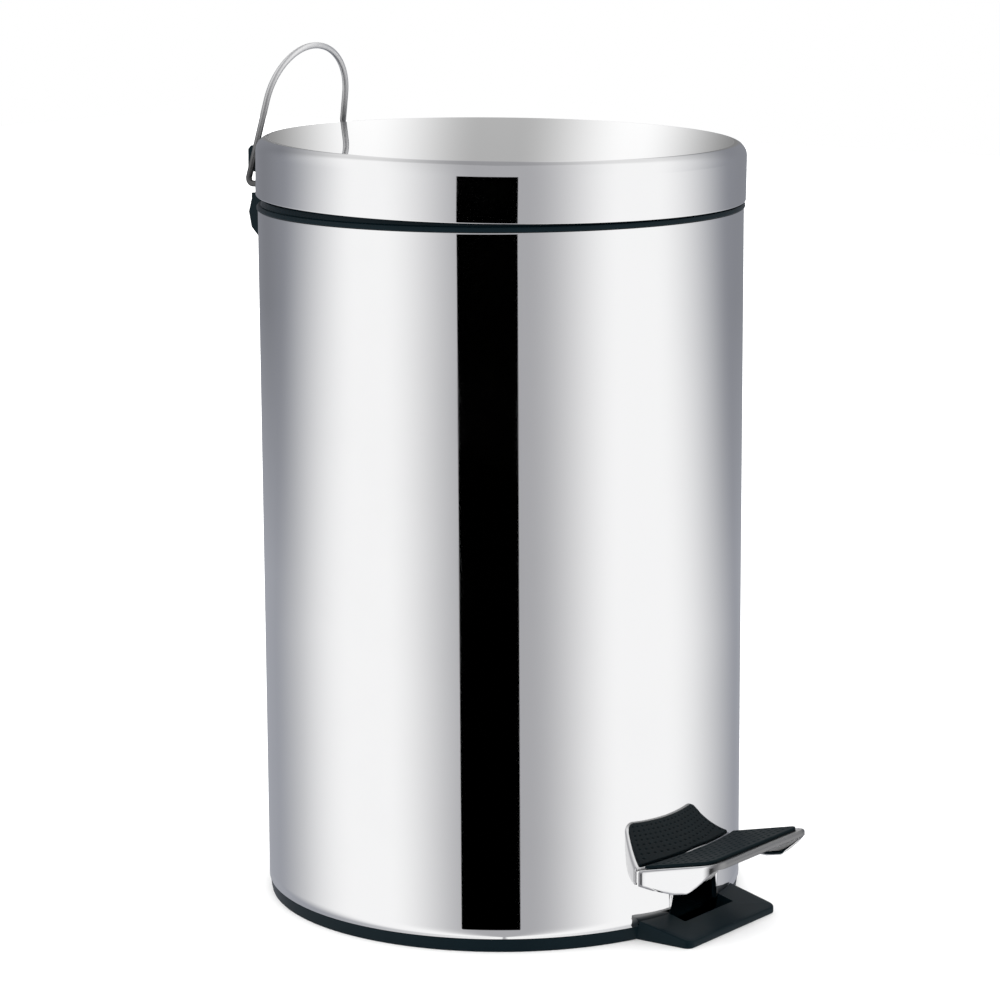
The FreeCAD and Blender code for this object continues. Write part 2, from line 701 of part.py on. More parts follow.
def rod_guide(label, bottom, height):
    """Block that fits against the inside of the shell and steers the push rod."""
    block = box(label + "_block", (-8, "rod_y - 4.2", bottom), (8, "rod_y + 4", "%s + %s" % (bottom, height)))
    inside = rod(label + "_inside", "body_radius - sheet - 0.1", (0, 0, bottom), height, "z")
    bore = rod(label + "_bore", "rod_radius + pin_clear", (0, "rod_y", "%s - 1" % bottom), 40, "z")
    finish(cut(label + "_cut", shared(label + "_blank", block, inside), bore), label)


def push_rod():
    finish(rod("lift_rod", "rod_radius", (0, "rod_y", "rod_bottom"), "rod_top - rod_bottom", "z"), "push_rod")


def rod_foot():
    block = rod("rod_foot_block", "rod_foot_radius", (0, "rod_y", 7.4), 9.6, "z")
    bore = rod("rod_foot_bore", "rod_radius", (0, "rod_y", "rod_bottom"), 10, "z")
    finish(cut("rod_foot_cut", block, bore), "rod_foot")


def rod_cap():
    """Domed cap that slides under the lift tab."""
    barrel = rod("rod_cap_barrel", "cap_radius", (0, "rod_y", 345), "cap_centre - 345", "z")
    dome = doc.addObject("Part::Sphere", "rod_cap_dome")
    bind(dome, "Radius", "cap_radius")
    bind(dome, "Placement.Base.y", "rod_y")
    bind(dome, "Placement.Base.z", "cap_centre")
    bore = rod("rod_cap_bore", "rod_radius", (0, "rod_y", 340), "rod_top - 340", "z")
    finish(cut("rod_cap_cut", joined("rod_cap_solid", barrel, dome), bore), "rod_cap")


# ---------------------------------------------------------------- bucket


def inner_bucket():
    tub = turned("bucket_tub", [
        (0, "bucket_floor"), ("bucket_base_radius", "bucket_floor"),
        ("bucket_top_radius", "bucket_rim_z"), ("bucket_rim", "bucket_rim_z"),
        ("bucket_rim", "bucket_rim_z + 3"), ("bucket_top_radius - bucket_wall", "bucket_rim_z + 3"),
        ("bucket_base_radius - bucket_wall", "bucket_floor + bucket_wall"),
        (0, "bucket_floor + bucket_wall")])

    def ear(tag, sign):
        low, high = (109.5, 112.5) if sign > 0 else (-112.5, -109.5)
        return box("ear_" + tag, (low, -6, "bucket_rim_z + 2"), (high, 6, "bail_z + 4"))

    bore = rod("ear_bore", "bail_wire + pin_clear", (-120, 0, "bail_z"), 240, "x")
    finish(cut("bucket", joined("bucket_solid", tub, *both_sides(ear)), bore), "inner_bucket")


def bent_wire(points, radii, radius):
    """Round wire along straight runs joined by tangent arcs at the inner points."""
    edges = []
    start = points[0]
    for before, corner, after, bend in zip(points, points[1:], points[2:], radii):
        back = (before - corner).normalize()
        ahead = (after - corner).normalize()
        half_turn = (math.pi - back.getAngle(ahead)) / 2
        trim = bend * math.tan(half_turn)
        enter = corner + back * trim
        leave = corner + ahead * trim
        towards_centre = (back + ahead).normalize()
        middle = corner + towards_centre * (bend / math.cos(half_turn) - bend)
        if (enter - start).Length > 0.01:
            edges.append(Part.LineSegment(start, enter).toShape())
        edges.append(Part.Arc(enter, middle, leave).toShape())
        start = leave
    edges.append(Part.LineSegment(start, points[-1]).toShape())
    path = Part.Wire(edges)
    section = Part.Wire([Part.makeCircle(radius, points[0], points[1] - points[0])])
    return path.makePipeShell([section], True, False)


def wire_piece(name, shape, label):
    """A bent wire has no sketch of its own; its shape is made from the sheet's sizes."""
    item = doc.addObject("Part::Feature", name)
    item.Shape = shape
    return finish(item, label)


def bucket_bail():
    """Half-round wire that lies on the bucket's rim, its ends hooked outward through the ears."""
    level, reach = size("bail_z"), size("bail_radius")
    bend = 4.0
    first = Vector(115, 0, level)
    last = Vector(-115, 0, level)
    right = Vector(reach, -bend, level)
    left = Vector(-reach, -bend, level)
    quarter = Vector(0, -bend - reach, level)
    edges = [
        Part.LineSegment(first, Vector(reach + bend, 0, level)).toShape(),
        Part.Arc(Vector(reach + bend, 0, level),
                 Vector(reach + bend * (1 - math.sqrt(0.5)), -bend * (1 - math.sqrt(0.5)), level), right).toShape(),
        Part.Arc(right, quarter, left).toShape(),
        Part.Arc(left, Vector(-reach - bend * (1 - math.sqrt(0.5)), -bend * (1 - math.sqrt(0.5)), level),
                 Vector(-reach - bend, 0, level)).toShape(),
        Part.LineSegment(Vector(-reach - bend, 0, level), last).toShape(),
    ]
    section = Part.Wire([Part.makeCircle(size("bail_wire"), first, Vector(1, 0, 0))])
    wire_piece("bail", Part.Wire(edges).makePipeShell([section], True, False), "bucket_bail")


def bail_grip():
    """Tubular grip around the middle of the bail."""
    def ring_segment(name, radius, spread):
        item = doc.addObject("Part::Torus", name)
        bind(item, "Radius1", "bail_radius")
        bind(item, "Radius2", radius)
        item.Angle3 = spread
        item.Placement = Placement(Vector(0, -4, size("bail_z")), Rotation(Vector(0, 0, 1), -90 - spread / 2))
        return item

    finish(cut("grip", ring_segment("grip_outer", 3.2, 36), ring_segment("grip_bore", "bail_wire + 0.05", 40)),
           "bail_grip")


# ---------------------------------------------------------------- carry handle


def carry_handle():
    """Arched wire; each end turns inward on the hinge line and is cranked back to the arch's own plane."""
    lean = math.radians(size("handle_lean"))
    half, rise, arch = size("handle_half"), size("handle_rise"), size("handle_arch")
    centre_height = rise - arch
    distance = math.hypot(half, centre_height)
    leg_angle = math.atan2(centre_height, -half) - math.asin(arch / distance)
    shoulder = half + rise / math.tan(leg_angle)

    def point(x, height, back=size("handle_offset")):
        return Vector(x, size("hinge_y") + back - height * math.sin(lean),
                      size("hinge_z") + height * math.cos(lean))

    right = [point(size("handle_end"), 0, 0), point(half, 0, 0), point(half, 0), point(shoulder, rise)]
    left = [Vector(-place.x, place.y, place.z) for place in reversed(right)]
    bends = [size("handle_inner_bend"), size("handle_outer_bend"), arch - 0.05]
    shape = bent_wire(right + left, bends + bends[::-1], size("handle_wire"))
    wire_piece("handle", shape, "carry_handle")


# ---------------------------------------------------------------- build, check and write


def build():
    for make in (body_shell, rim_ring, base_moulding, anti_slip_feet, body_hinge_leaf, hinge_backing_plate,
                 body_hinge_screws, hinge_pin, lid_shell, lid_inner_ring, lid_bumpers, lid_hinge_leaf,
                 lid_clamp_plate, lid_lift_tab, lid_rivets, pedal_lever, pedal_arm, pedal_plate, pedal_mat,
                 pedal_rivets, pivot_brackets, bracket_screws, lever_pivot_pin, pivot_clips, push_rod,
                 rod_foot, rod_cap, inner_bucket, bucket_bail, bail_grip, carry_handle):
        make()
    rod_guide("upper_rod_guide", "318", "16")
    rod_guide("lower_rod_guide", "40", "12")
    doc.recompute()


def check():
    for item in doc.Objects:
        if "Invalid" in item.State or "Error" in item.State:
            raise RuntimeError("%s did not compute" % item.Name)
    for item in sub_parts:
        if item.Shape.isNull() or not item.Shape.isValid():
            raise RuntimeError("%s has no valid shape" % item.Label)


def write():
    os.makedirs("parts", exist_ok=True)
    for item in sub_parts:
        item.Shape.exportStep("parts/%s.step" % item.Label)
        print("%-22s %3d solid %12.1f mm3" % (item.Label, len(item.Shape.Solids), item.Shape.Volume))


build()
check()
write()
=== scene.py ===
"""Pedal bin: the finished look of each piece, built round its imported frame."""

import json

import bmesh
import bpy
import numpy as np
from bpy.props import FloatProperty, FloatVectorProperty, IntProperty, PointerProperty
from mathutils import Matrix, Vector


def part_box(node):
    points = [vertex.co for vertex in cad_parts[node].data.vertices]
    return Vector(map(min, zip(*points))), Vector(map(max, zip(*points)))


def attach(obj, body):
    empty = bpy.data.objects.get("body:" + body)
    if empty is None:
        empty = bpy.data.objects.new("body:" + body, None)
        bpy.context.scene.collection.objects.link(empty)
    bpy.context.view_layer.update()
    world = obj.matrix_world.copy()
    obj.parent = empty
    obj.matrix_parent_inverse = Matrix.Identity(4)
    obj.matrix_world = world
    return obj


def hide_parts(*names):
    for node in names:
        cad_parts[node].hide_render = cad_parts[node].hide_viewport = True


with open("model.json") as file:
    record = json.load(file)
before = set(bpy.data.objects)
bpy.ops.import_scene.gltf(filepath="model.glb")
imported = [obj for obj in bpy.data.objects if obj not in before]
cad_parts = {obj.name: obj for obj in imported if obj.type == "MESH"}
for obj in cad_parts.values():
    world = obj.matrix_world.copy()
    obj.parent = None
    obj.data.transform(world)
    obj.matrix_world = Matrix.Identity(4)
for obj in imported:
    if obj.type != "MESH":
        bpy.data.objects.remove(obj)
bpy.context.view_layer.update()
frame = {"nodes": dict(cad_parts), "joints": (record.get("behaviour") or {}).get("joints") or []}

bl_info = {
    "name": "Pedal bin",
    "version": (1, 0, 0),
    "blender": (4, 5, 0),
    "location": "3D View > Sidebar > Pedal bin",
    "description": "Builds the finished pieces of a pedal bin round its packed frame",
    "category": "Object",
}

MM = 0.001


def box_of(node):
    low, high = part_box(node)
    return np.array(low), np.array(high)


SHELL_LOW, SHELL_HIGH = box_of("body_shell")
TREAD_LOW, TREAD_HIGH = box_of("pedal_plate")
BUCKET_LOW, BUCKET_HIGH = box_of("inner_bucket")
HINGE = next(np.array(joint["pos_m"]) for joint in frame["joints"] if joint["name"] == "lid_hinge")


# ---- sizes and colours


def a_length(name, text, size):
    """A length that a user may change, given in millimetres."""
    return FloatProperty(name=name, description=text, default=size * MM, unit="LENGTH")


def an_angle(name, text, size):
    """An angle that a user may change, given in degrees."""
    return FloatProperty(name=name, description=text, default=np.radians(size), subtype="ANGLE")


def a_colour(name, text, default):
    """A colour that a user may change."""
    return FloatVectorProperty(name=name, description=text, subtype="COLOR", size=3, default=default,
                               min=0, max=1)


class PEDALBIN_ShellSizes(bpy.types.PropertyGroup):
    """The rolled wall, the ring round its mouth and the moulded base."""
    radius: FloatProperty(name="Radius", description="Outside radius of the steel wall",
                          default=float(SHELL_HIGH[0]), unit="LENGTH")
    sheet: a_length("Sheet", "Thickness of the steel", 0.7)
    slot_half: a_length("Slot half width", "Half the width of the lever's slot", 21.5)
    slot_top: a_length("Slot top", "Height of the slot's upper edge", 28)
    segments: IntProperty(name="Segments", description="Divisions round the bin", default=256, min=64)


class PEDALBIN_LidSizes(bpy.types.PropertyGroup):
    """The drawn lid, level, before it leans forward about the hinge."""
    radius: a_length("Radius", "Outside radius of the lid", 126)
    edge: a_length("Edge", "Height of the lower edge", 368.7)
    height: a_length("Height", "Height of the skirt", 29.5)
    dome: a_length("Dome", "Rise of the top at its middle", 1.0)
    corner: a_length("Corner", "Radius between skirt and top", 7)
    hem: a_length("Hem", "Width of the turned-in edge", 1.5)
    droop: an_angle("Droop", "Lean of the closed lid", 1.15)


class PEDALBIN_PedalSizes(bpy.types.PropertyGroup):
    """The tread, its mat and the strip that carries it."""
    slope: an_angle("Slope", "Rise of the tread away from the body", 13.6)
    corner: a_length("Corner", "Plan radius of the front corners", 9)
    wall: a_length("Wall", "Thickness of the pressed steel", 1.2)
    mat_margin: a_length("Mat margin", "Steel that shows beside the mat", 3.2)
    mat_front: a_length("Mat front margin", "Steel that shows in front of the mat", 5.2)
    mat_corner: a_length("Mat corner", "Plan radius of the mat's front corners", 5.5)
    mat_thick: a_length("Mat thickness", "Thickness of the rubber", 1.7)
    dimple_pitch: a_length("Dimple pitch", "Distance between dimples", 4.5)
    dimple_radius: a_length("Dimple radius", "Radius of one dimple", 1.0)
    dimple_depth: a_length("Dimple depth", "Depth of one dimple", 0.45)


class PEDALBIN_HandleSizes(bpy.types.PropertyGroup):
    """The arched wire that carries the bin."""
    half: a_length("Half width", "From the middle to a leg at the hinge line", 37.1)
    rise: a_length("Rise", "Height of the arch above the hinge line", 73.3)
    arch: a_length("Arch", "Radius of the arch", 32.1)
    wire: a_length("Wire", "Radius of the wire", 1.65)
    lean: an_angle("Lean", "Lean over the lid", 12.8)
    end: a_length("End", "Inner end of the turned-in pivots", 27)
    offset: a_length("Offset", "From the hinge line back to the arch's plane", 7.8)


class PEDALBIN_BucketSizes(bpy.types.PropertyGroup):
    """The lift-out bucket and its bail."""
    base_radius: a_length("Base radius", "Radius at the floor", 96.5)
    top_radius: a_length("Top radius", "Radius under the rim", 107.5)
    wall: a_length("Wall", "Thickness of the plastic", 1.5)
    rim_height: a_length("Rim height", "Height of the rim's underside", 350)
    bail_radius: a_length("Bail radius", "Radius of the half-round bail", 104.5)
    bail_height: a_length("Bail height", "Height of the resting bail", 356.9)


class PEDALBIN_Finish(bpy.types.PropertyGroup):
    """Colours that a maker would choose."""
    steel: a_colour("Steel", "Colour of the polished steel", (0.79, 0.79, 0.795))
    plastic: a_colour("Black plastic", "Colour of the moulded parts", (0.0028, 0.0078, 0.0108))
    rubber: a_colour("Black rubber", "Colour of the mat and the feet", (0.0022, 0.0070, 0.0092))
    bucket: a_colour("Bucket plastic", "Colour of the bucket", (0.035, 0.037, 0.039))
    floor: a_colour("Floor", "Colour of the studio floor", (0.92, 0.92, 0.92))


GROUPS = {
    "pedalbin_shell": PEDALBIN_ShellSizes,
    "pedalbin_lid": PEDALBIN_LidSizes,
    "pedalbin_pedal": PEDALBIN_PedalSizes,
    "pedalbin_handle": PEDALBIN_HandleSizes,
    "pedalbin_bucket": PEDALBIN_BucketSizes,
    "pedalbin_finish": PEDALBIN_Finish,
}


# ---- shapes in numpy


def unit(vectors):
    """Each vector over its own length; a zero vector stays zero."""
    lengths = np.linalg.norm(vectors, axis=-1, keepdims=True)
    return vectors / np.where(lengths > 1e-12, lengths, 1.0)


def without_repeats(points, closed):
    """Drops each point that lies on the one before it."""
    step = np.linalg.norm(points - np.roll(points, 1, axis=0), axis=1) > 1e-7
    if not closed:
        step[0] = True
    return points[step]


def rounded(corners, radii, steps=6, support=0.4 * MM, closed=True):
    """Corner points with each corner replaced by an arc that touches its two sides.

    With half the corner's angle h, the arc starts r / tan h along each side and its centre lies
    r / sin h along the bisector; a point on it is the two end spokes blended by sines of the part
    turns. One more point stands a little way along each side, so that flat sides shade flat.
    """
    corners = np.asarray(corners, float)
    radii = np.broadcast_to(np.asarray(radii, float), len(corners)).copy()
    if not closed:
        radii[[0, -1]] = 0
    back = unit(np.roll(corners, 1, axis=0) - corners)
    ahead = unit(np.roll(corners, -1, axis=0) - corners)
    half = np.arccos(np.clip((back * ahead).sum(1), -1, 1)) / 2
    half = np.where(radii > 0, np.clip(half, 1e-3, np.pi / 2 - 1e-3), np.pi / 4)
    trim = radii / np.tan(half)
    centre = corners + unit(back + ahead) * (radii / np.sin(half))[:, None]
    turn = (np.pi - 2 * half)[:, None, None]
    part = np.linspace(0, 1, steps)[None, :, None]
    enter = (corners + back * trim[:, None] - centre)[:, None, :]
    leave = (corners + ahead * trim[:, None] - centre)[:, None, :]
    spokes = np.sin((1 - part) * turn) * enter + np.sin(part * turn) * leave
    arc = centre[:, None, :] + spokes / np.sin(turn)
    side = np.linalg.norm(np.roll(corners, -1, axis=0) - corners, axis=1) - trim - np.roll(trim, -1)
    room = np.minimum(support, 0.3 * np.maximum(side, 0))
    before = corners + back * (trim + np.roll(room, 1))[:, None]
    after = corners + ahead * (trim + room)[:, None]
    points = np.concatenate([before[:, None, :], arc, after[:, None, :]], axis=1)
    if closed:
        return without_repeats(points.reshape(-1, corners.shape[1]), True)
    points[0, 0] = corners[0]
    points[-1, -1] = corners[-1]
    return without_repeats(points.reshape(-1, corners.shape[1]), False)


def turned(profile, segments):
    """Revolution about Z: the profile's (r, z) goes to (r sin a, -r cos a, z) for each angle a."""
    angle = np.linspace(-np.pi, np.pi, segments, endpoint=False)
    radius, height = profile[:, 0, None], profile[:, 1, None]
    return np.stack([radius * np.sin(angle), -radius * np.cos(angle), height + 0 * angle], axis=-1)


def circle(radius, sides):
    """Section of a round wire: radius times (cos a, sin a)."""
    angle = np.linspace(0, 2 * np.pi, sides, endpoint=False)
    return radius * np.stack([np.cos(angle), np.sin(angle)], axis=-1)


def carried(section, path, reference, rounding=0.0, steps=4):
    """A section carried along a path and closed at both ends.

    The frame at each path point is b, the reference less its part along the tangent, made unit, and
    n = b x tangent, so a section point (p, q) goes to path + p n + q b. The first and last rings
    shrink over a quarter round of the given rounding and then to the path itself, which closes the
    ends.
    """
    tangent = unit(np.gradient(path, axis=0))
    reference = np.asarray(reference, float)
    binormal = unit(reference - (tangent @ reference)[:, None] * tangent)
    normal = unit(np.cross(binormal, tangent))
    turn = np.linspace(0, np.pi / 2, steps + 1)
    reach = np.abs(section).max(axis=0)
    inset = rounding * (1 - np.cos(turn))
    slide = rounding * (1 - np.sin(turn))

    def rings(at, along):
        shrink = 1 - inset[:, None] / reach[None, :]
        placed = section[None] * shrink[:, None, :]
        origin = path[at] + along[:, None] * tangent[at]
        return origin[:, None, :] + placed[..., 0, None] * normal[at] + placed[..., 1, None] * binormal[at]

    body = (path[:, None, :] + section[None, :, 0, None] * normal[:, None, :]
            + section[None, :, 1, None] * binormal[:, None, :])
    start, end = rings(0, slide), rings(-1, -slide)
    first = np.broadcast_to(path[0], (1, len(section), 3))
    last = np.broadcast_to(path[-1], (1, len(section), 3))
    if rounding > 0:
        return np.concatenate([first, start[::-1], body[1:-1], end, last])
    return np.concatenate([first, body, last])


def slab(outline, low, high, edge, centre, steps=4, rings=10):
    """Closed pad over a plan outline, between two height functions of (x, y), with rounded edges.

    The outline moves inward along its own normals by edge times (1 - cos a) while the height comes
    down by edge times (1 - sin a); the two faces then shrink to the centre point.
    """
    along = unit(np.roll(outline, -1, axis=0) - np.roll(outline, 1, axis=0))
    inward = np.stack([-along[:, 1], along[:, 0]], axis=-1)
    inward *= np.sign(((centre - outline) * inward).sum())
    turn = np.linspace(0, np.pi / 2, steps + 1)
    inset, drop = edge * (1 - np.cos(turn)), edge * (1 - np.sin(turn))
    side = outline[None] + inset[:, None, None] * inward[None]
    share = np.linspace(1, 0, rings)[1:, None, None]
    face = centre + share * (side[-1] - centre)
    top = np.concatenate([high(side) - drop[:, None], high(face)])
    bottom = np.concatenate([low(side) + drop[:, None], low(face)])
    plan = np.concatenate([side, face])
    over = np.concatenate([plan, top[..., None]], axis=-1)
    under = np.concatenate([plan, bottom[..., None]], axis=-1)
    return np.concatenate([under[::-1], over])


def lean(points, droop):
    """Turns points about the hinge line, as the closed lid leans forward."""
    y, z = points[..., 1] - HINGE[1], points[..., 2] - HINGE[2]
    turned_y = y * np.cos(droop) - z * np.sin(droop)
    turned_z = y * np.sin(droop) + z * np.cos(droop)
    return np.stack([points[..., 0], HINGE[1] + turned_y, HINGE[2] + turned_z], axis=-1)


def quads(rows, columns, wrap_rows, wrap_columns, start):
    """Four-sided faces between neighbouring points of a grid, as one array."""
    row, column = np.meshgrid(np.arange(rows if wrap_rows else rows - 1),
                              np.arange(columns if wrap_columns else columns - 1), indexing="ij")
    below, beside = (row + 1) % rows, (column + 1) % columns
    corners = [row * columns + column, row * columns + beside,
               below * columns + beside, below * columns + column]
    return start + np.stack(corners, axis=-1).reshape(-1, 4)


def piece(name, grids, material, body, nodes, closed=True, crease=40.0):
    """Makes one mesh from grids of points, closes its seams and hands it to the frame."""
    vertices, faces, count = [], [], 0
    for points, wrap_rows, wrap_columns in grids:
        rows, columns = points.shape[:2]
        vertices.append(points.reshape(-1, 3))
        faces.append(quads(rows, columns, wrap_rows, wrap_columns, count))
        count += rows * columns
    mesh = bpy.data.meshes.new(name)
    mesh.from_pydata(np.concatenate(vertices), [], np.concatenate(faces).tolist())
    work = bmesh.new()
    work.from_mesh(mesh)
    bmesh.ops.remove_doubles(work, verts=work.verts, dist=2e-6)
    bmesh.ops.dissolve_degenerate(work, edges=work.edges, dist=1e-7)
    if closed:
        bmesh.ops.recalc_face_normals(work, faces=work.faces)
    work.to_mesh(mesh)
    work.free()
    mesh.shade_smooth()
    mesh.set_sharp_from_angle(angle=np.radians(crease))
    made = bpy.data.objects.new(name, mesh)
    bpy.context.scene.collection.objects.link(made)
    made.data.materials.append(material)
    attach(made, body)
    if nodes:
        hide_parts(*nodes)
    return made


# ---- finishes


class Value:
    """A socket that can stand in a sum; each operator adds one Math node to its graph."""

    def __init__(self, graph, socket):
        self.graph = graph
        self.socket = socket

    def math(self, operation, *others):
        return self.graph.add("ShaderNodeMath", {"operation": operation},
                              dict(enumerate((self,) + others)))

    def __add__(self, other):
        return self.math("ADD", other)

    def __sub__(self, other):
        return self.math("SUBTRACT", other)

    def __rsub__(self, other):
        return self.graph.add("ShaderNodeMath", {"operation": "SUBTRACT"}, {0: other, 1: self})

    def __mul__(self, other):
        return self.math("MULTIPLY", other)

    __radd__ = __add__
    __rmul__ = __mul__

    def smooth(self, low, high):
        """0 below low, 1 above high and an even S between them."""
        return self.graph.add("ShaderNodeMapRange", {"interpolation_type": "SMOOTHSTEP"},
                              {"Value": self, "From Min": low, "From Max": high})


class Graph:
    """One node tree, filled by adding nodes by type."""

    def __init__(self, tree):
        self.tree = tree
        tree.nodes.clear()

    def add(self, kind, settings=None, inputs=None, output=0):
        """A node of a type, its settings set first, then its sockets' values or links."""
        node = self.tree.nodes.new(kind)
        for setting, wanted in (settings or {}).items():
            setattr(node, setting, wanted)
        for socket, wanted in (inputs or {}).items():
            target = node.inputs[socket]
            if isinstance(wanted, Value):
                self.tree.links.new(wanted.socket, target)
            else:
                target.default_value = wanted
        return Value(self, node.outputs[output]) if node.outputs else node

    def place(self):
        return self.add("ShaderNodeTexCoord", output="Object")

    def noise(self, where, scale, detail=3.0, roughness=0.55):
        return self.add("ShaderNodeTexNoise", {}, {"Vector": where, "Scale": scale, "Detail": detail,
                                                   "Roughness": roughness})

    def stretched(self, where, scale):
        """The same place, with each axis scaled by its own number."""
        return self.add("ShaderNodeMapping", {}, {"Vector": where, "Scale": scale})

    def blend(self, first, second, share):
        """The first colour where the share is 0 and the second where it is 1."""
        return self.add("ShaderNodeMix", {"data_type": "RGBA"},
                        {"Factor": share, "A": first, "B": second}, 2)

    def times(self, colour, factor):
        """A colour made brighter or darker by a factor."""
        return self.add("ShaderNodeVectorMath", {"operation": "SCALE"}, {"Vector": colour, "Scale": factor})

    def bump(self, height, strength, distance):
        return self.add("ShaderNodeBump", {}, {"Height": height, "Strength": strength, "Distance": distance})

    def shade(self, dark, light, share):
        """A colour between two, by a share from 0 to 1."""
        return self.blend(tuple(dark) + (1.0,), tuple(light) + (1.0,), share)


def finish_of(name, constants, varying):
    """A material: constants sit on the shader's sockets, varying ones come from the graph."""
    made = bpy.data.materials.new(name)
    made.use_nodes = True
    graph = Graph(made.node_tree)
    inputs = dict(constants)
    inputs.update(varying(graph))
    shader = graph.add("ShaderNodeBsdfPrincipled", {}, inputs)
    graph.add("ShaderNodeOutputMaterial", {}, {"Surface": shader})
    return made


def tint(colour, factor):
    return tuple(min(1.0, channel * factor) for channel in colour)


def polished_steel(colour):
    """Mirror-polished sheet: faint smudges, and hairlines left by the buffing wheel."""
    def varying(graph):
        where = graph.place()
        smudge = graph.noise(where, 14.0, 4.0).smooth(0.45, 0.75)
        hair = graph.noise(graph.stretched(where, (900.0, 900.0, 30.0)), 1.0, 2.0)
        return {
            "Base Color": graph.shade(colour, tint(colour, 0.985), smudge),
            "Roughness": smudge * 0.018 + hair * 0.012 + 0.022,
            "Normal": graph.bump(hair, 0.012, 0.02 * MM),
        }
    return finish_of("polished_steel", {"Metallic": 1.0}, varying)


def worn_wire(colour):
    """Plated wire of the handle with painted shade: bright at the arch and painted nearly black down the
    legs towards its pivots; a little smoother at the arch, where hands polish it.
    """
    def varying(graph):
        where = graph.place()
        cloud = graph.noise(where, 60.0, 3.0)
        height = graph.add("ShaderNodeSeparateXYZ", {}, {"Vector": where}, 2)
        # painted shade: the colour falls to near black from the arch down the legs to the pivots; the same
        # mask also lowers the roughness at the arch
        polish_and_painted_light = (height + cloud * 0.006).smooth(0.374, 0.446)
        hair = graph.noise(where, 1500.0, 2.0)
        return {
            "Base Color": graph.shade(tint(colour, 0.13), tint(colour, 0.90), polish_and_painted_light),
            "Roughness": 0.42 - polish_and_painted_light * 0.08 + cloud * 0.05,
            "Normal": graph.bump(hair, 0.02, 0.02 * MM),
        }
    return finish_of("worn_wire", {"Metallic": 1.0}, varying)


def pressed_steel(colour):
    """Bright pressing with painted shade: the front edge is painted dark grey, and it is rougher there,
    where shoes scuff it.
    """
    def varying(graph):
        where = graph.place()
        cloud = graph.noise(where, 60.0, 3.0)
        hair = graph.noise(where, 1500.0, 2.0)
        reach = graph.add("ShaderNodeSeparateXYZ", {}, {"Vector": where}, 1) * -1
        # painted shade: the steel's colour drops to dark grey along the front edge; the same mask raises the
        # roughness there as scuffing
        scuff_and_painted_shade = (reach + cloud * 0.001).smooth(0.158, 0.165)
        return {
            "Base Color": graph.shade(colour, tint(colour, 0.30), scuff_and_painted_shade),
            "Roughness": cloud * 0.03 + scuff_and_painted_shade * 0.20 + 0.06,
            "Normal": graph.bump(hair, 0.02, 0.02 * MM),
        }
    return finish_of("pressed_steel", {"Metallic": 1.0}, varying)


def satin_strip(colour):
    """Strip steel with a satin finish from its rolling."""
    def varying(graph):
        where = graph.place()
        cloud = graph.noise(where, 60.0, 3.0)
        line = graph.noise(graph.stretched(where, (1500.0, 60.0, 60.0)), 1.0, 2.0)
        return {
            "Base Color": graph.shade(tint(colour, 0.92), tint(colour, 1.1), cloud),
            "Roughness": cloud * 0.06 + 0.50,
            "Normal": graph.bump(line, 0.04, 0.02 * MM),
        }
    return finish_of("satin_strip", {"Metallic": 0.6}, varying)


def moulded_black(name, colour, gloss, grain):
    """Moulded plastic with a fine spark-eroded grain and slightly uneven gloss."""
    def varying(graph):
        where = graph.place()
        cloud = graph.noise(where, 35.0, 3.0)
        speck = graph.noise(where, 2600.0, 2.0)
        flow = graph.noise(graph.stretched(where, (8.0, 8.0, 60.0)), 1.0, 2.0)
        return {
            "Base Color": graph.shade(tint(colour, 0.8), tint(colour, 1.25), cloud),
            "Roughness": cloud * 0.08 + flow * 0.05 + gloss,
            "Normal": graph.bump(speck, grain, 0.05 * MM),
        }
    return finish_of(name, {"IOR": 1.47, "Specular IOR Level": 0.07}, varying)


def black_rubber(colour):
    """Rubber with a dull skin and a fine pimple grain."""
    def varying(graph):
        where = graph.place()
        cloud = graph.noise(where, 50.0, 4.0)
        cells = graph.add("ShaderNodeTexVoronoi", {"feature": "F1"}, {"Vector": where, "Scale": 2200.0})
        return {
            "Base Color": graph.shade(tint(colour, 0.75), tint(colour, 1.35), cloud),
            "Roughness": cloud * 0.14 + 0.46,
            "Normal": graph.bump(cells, 0.18, 0.06 * MM),
        }
    return finish_of("black_rubber", {"IOR": 1.5, "Specular IOR Level": 0.06}, varying)


def zinc_plate(name, colour, gloss):
    """Plated steel: cloudy grey with crystal flecks and drawing lines."""
    def varying(graph):
        where = graph.place()
        fleck = graph.add("ShaderNodeTexVoronoi", {"feature": "F1"}, {"Vector": where, "Scale": 420.0})
        cloud = graph.noise(where, 40.0, 4.0)
        line = graph.noise(graph.stretched(where, (1600.0, 40.0, 1600.0)), 1.0, 2.0)
        return {
            "Base Color": graph.shade(tint(colour, 0.82), tint(colour, 1.1), cloud),
            "Roughness": fleck * 0.12 + cloud * 0.12 + gloss,
            "Normal": graph.bump(line, 0.05, 0.03 * MM),
        }
    return finish_of(name, {"Metallic": 1.0}, varying)


def bucket_plastic(colour):
    """Injection-moulded bucket with a leathery outside grain and a few scuffs."""
    def varying(graph):
        where = graph.place()
        cloud = graph.noise(where, 22.0, 4.0)
        grain = graph.add("ShaderNodeTexVoronoi", {"feature": "SMOOTH_F1"},
                          {"Vector": where, "Scale": 900.0})
        scuff = graph.noise(graph.stretched(where, (120.0, 120.0, 9.0)), 1.0, 5.0).smooth(0.62, 0.78)
        return {
            "Base Color": graph.shade(tint(colour, 0.85), tint(colour, 1.5), cloud * 0.6 + scuff * 0.4),
            "Roughness": cloud * 0.12 + scuff * 0.12 + 0.38,
            "Normal": graph.bump(grain, 0.15, 0.08 * MM),
        }
    return finish_of("bucket_plastic", {"IOR": 1.5}, varying)


FINISHES = {}


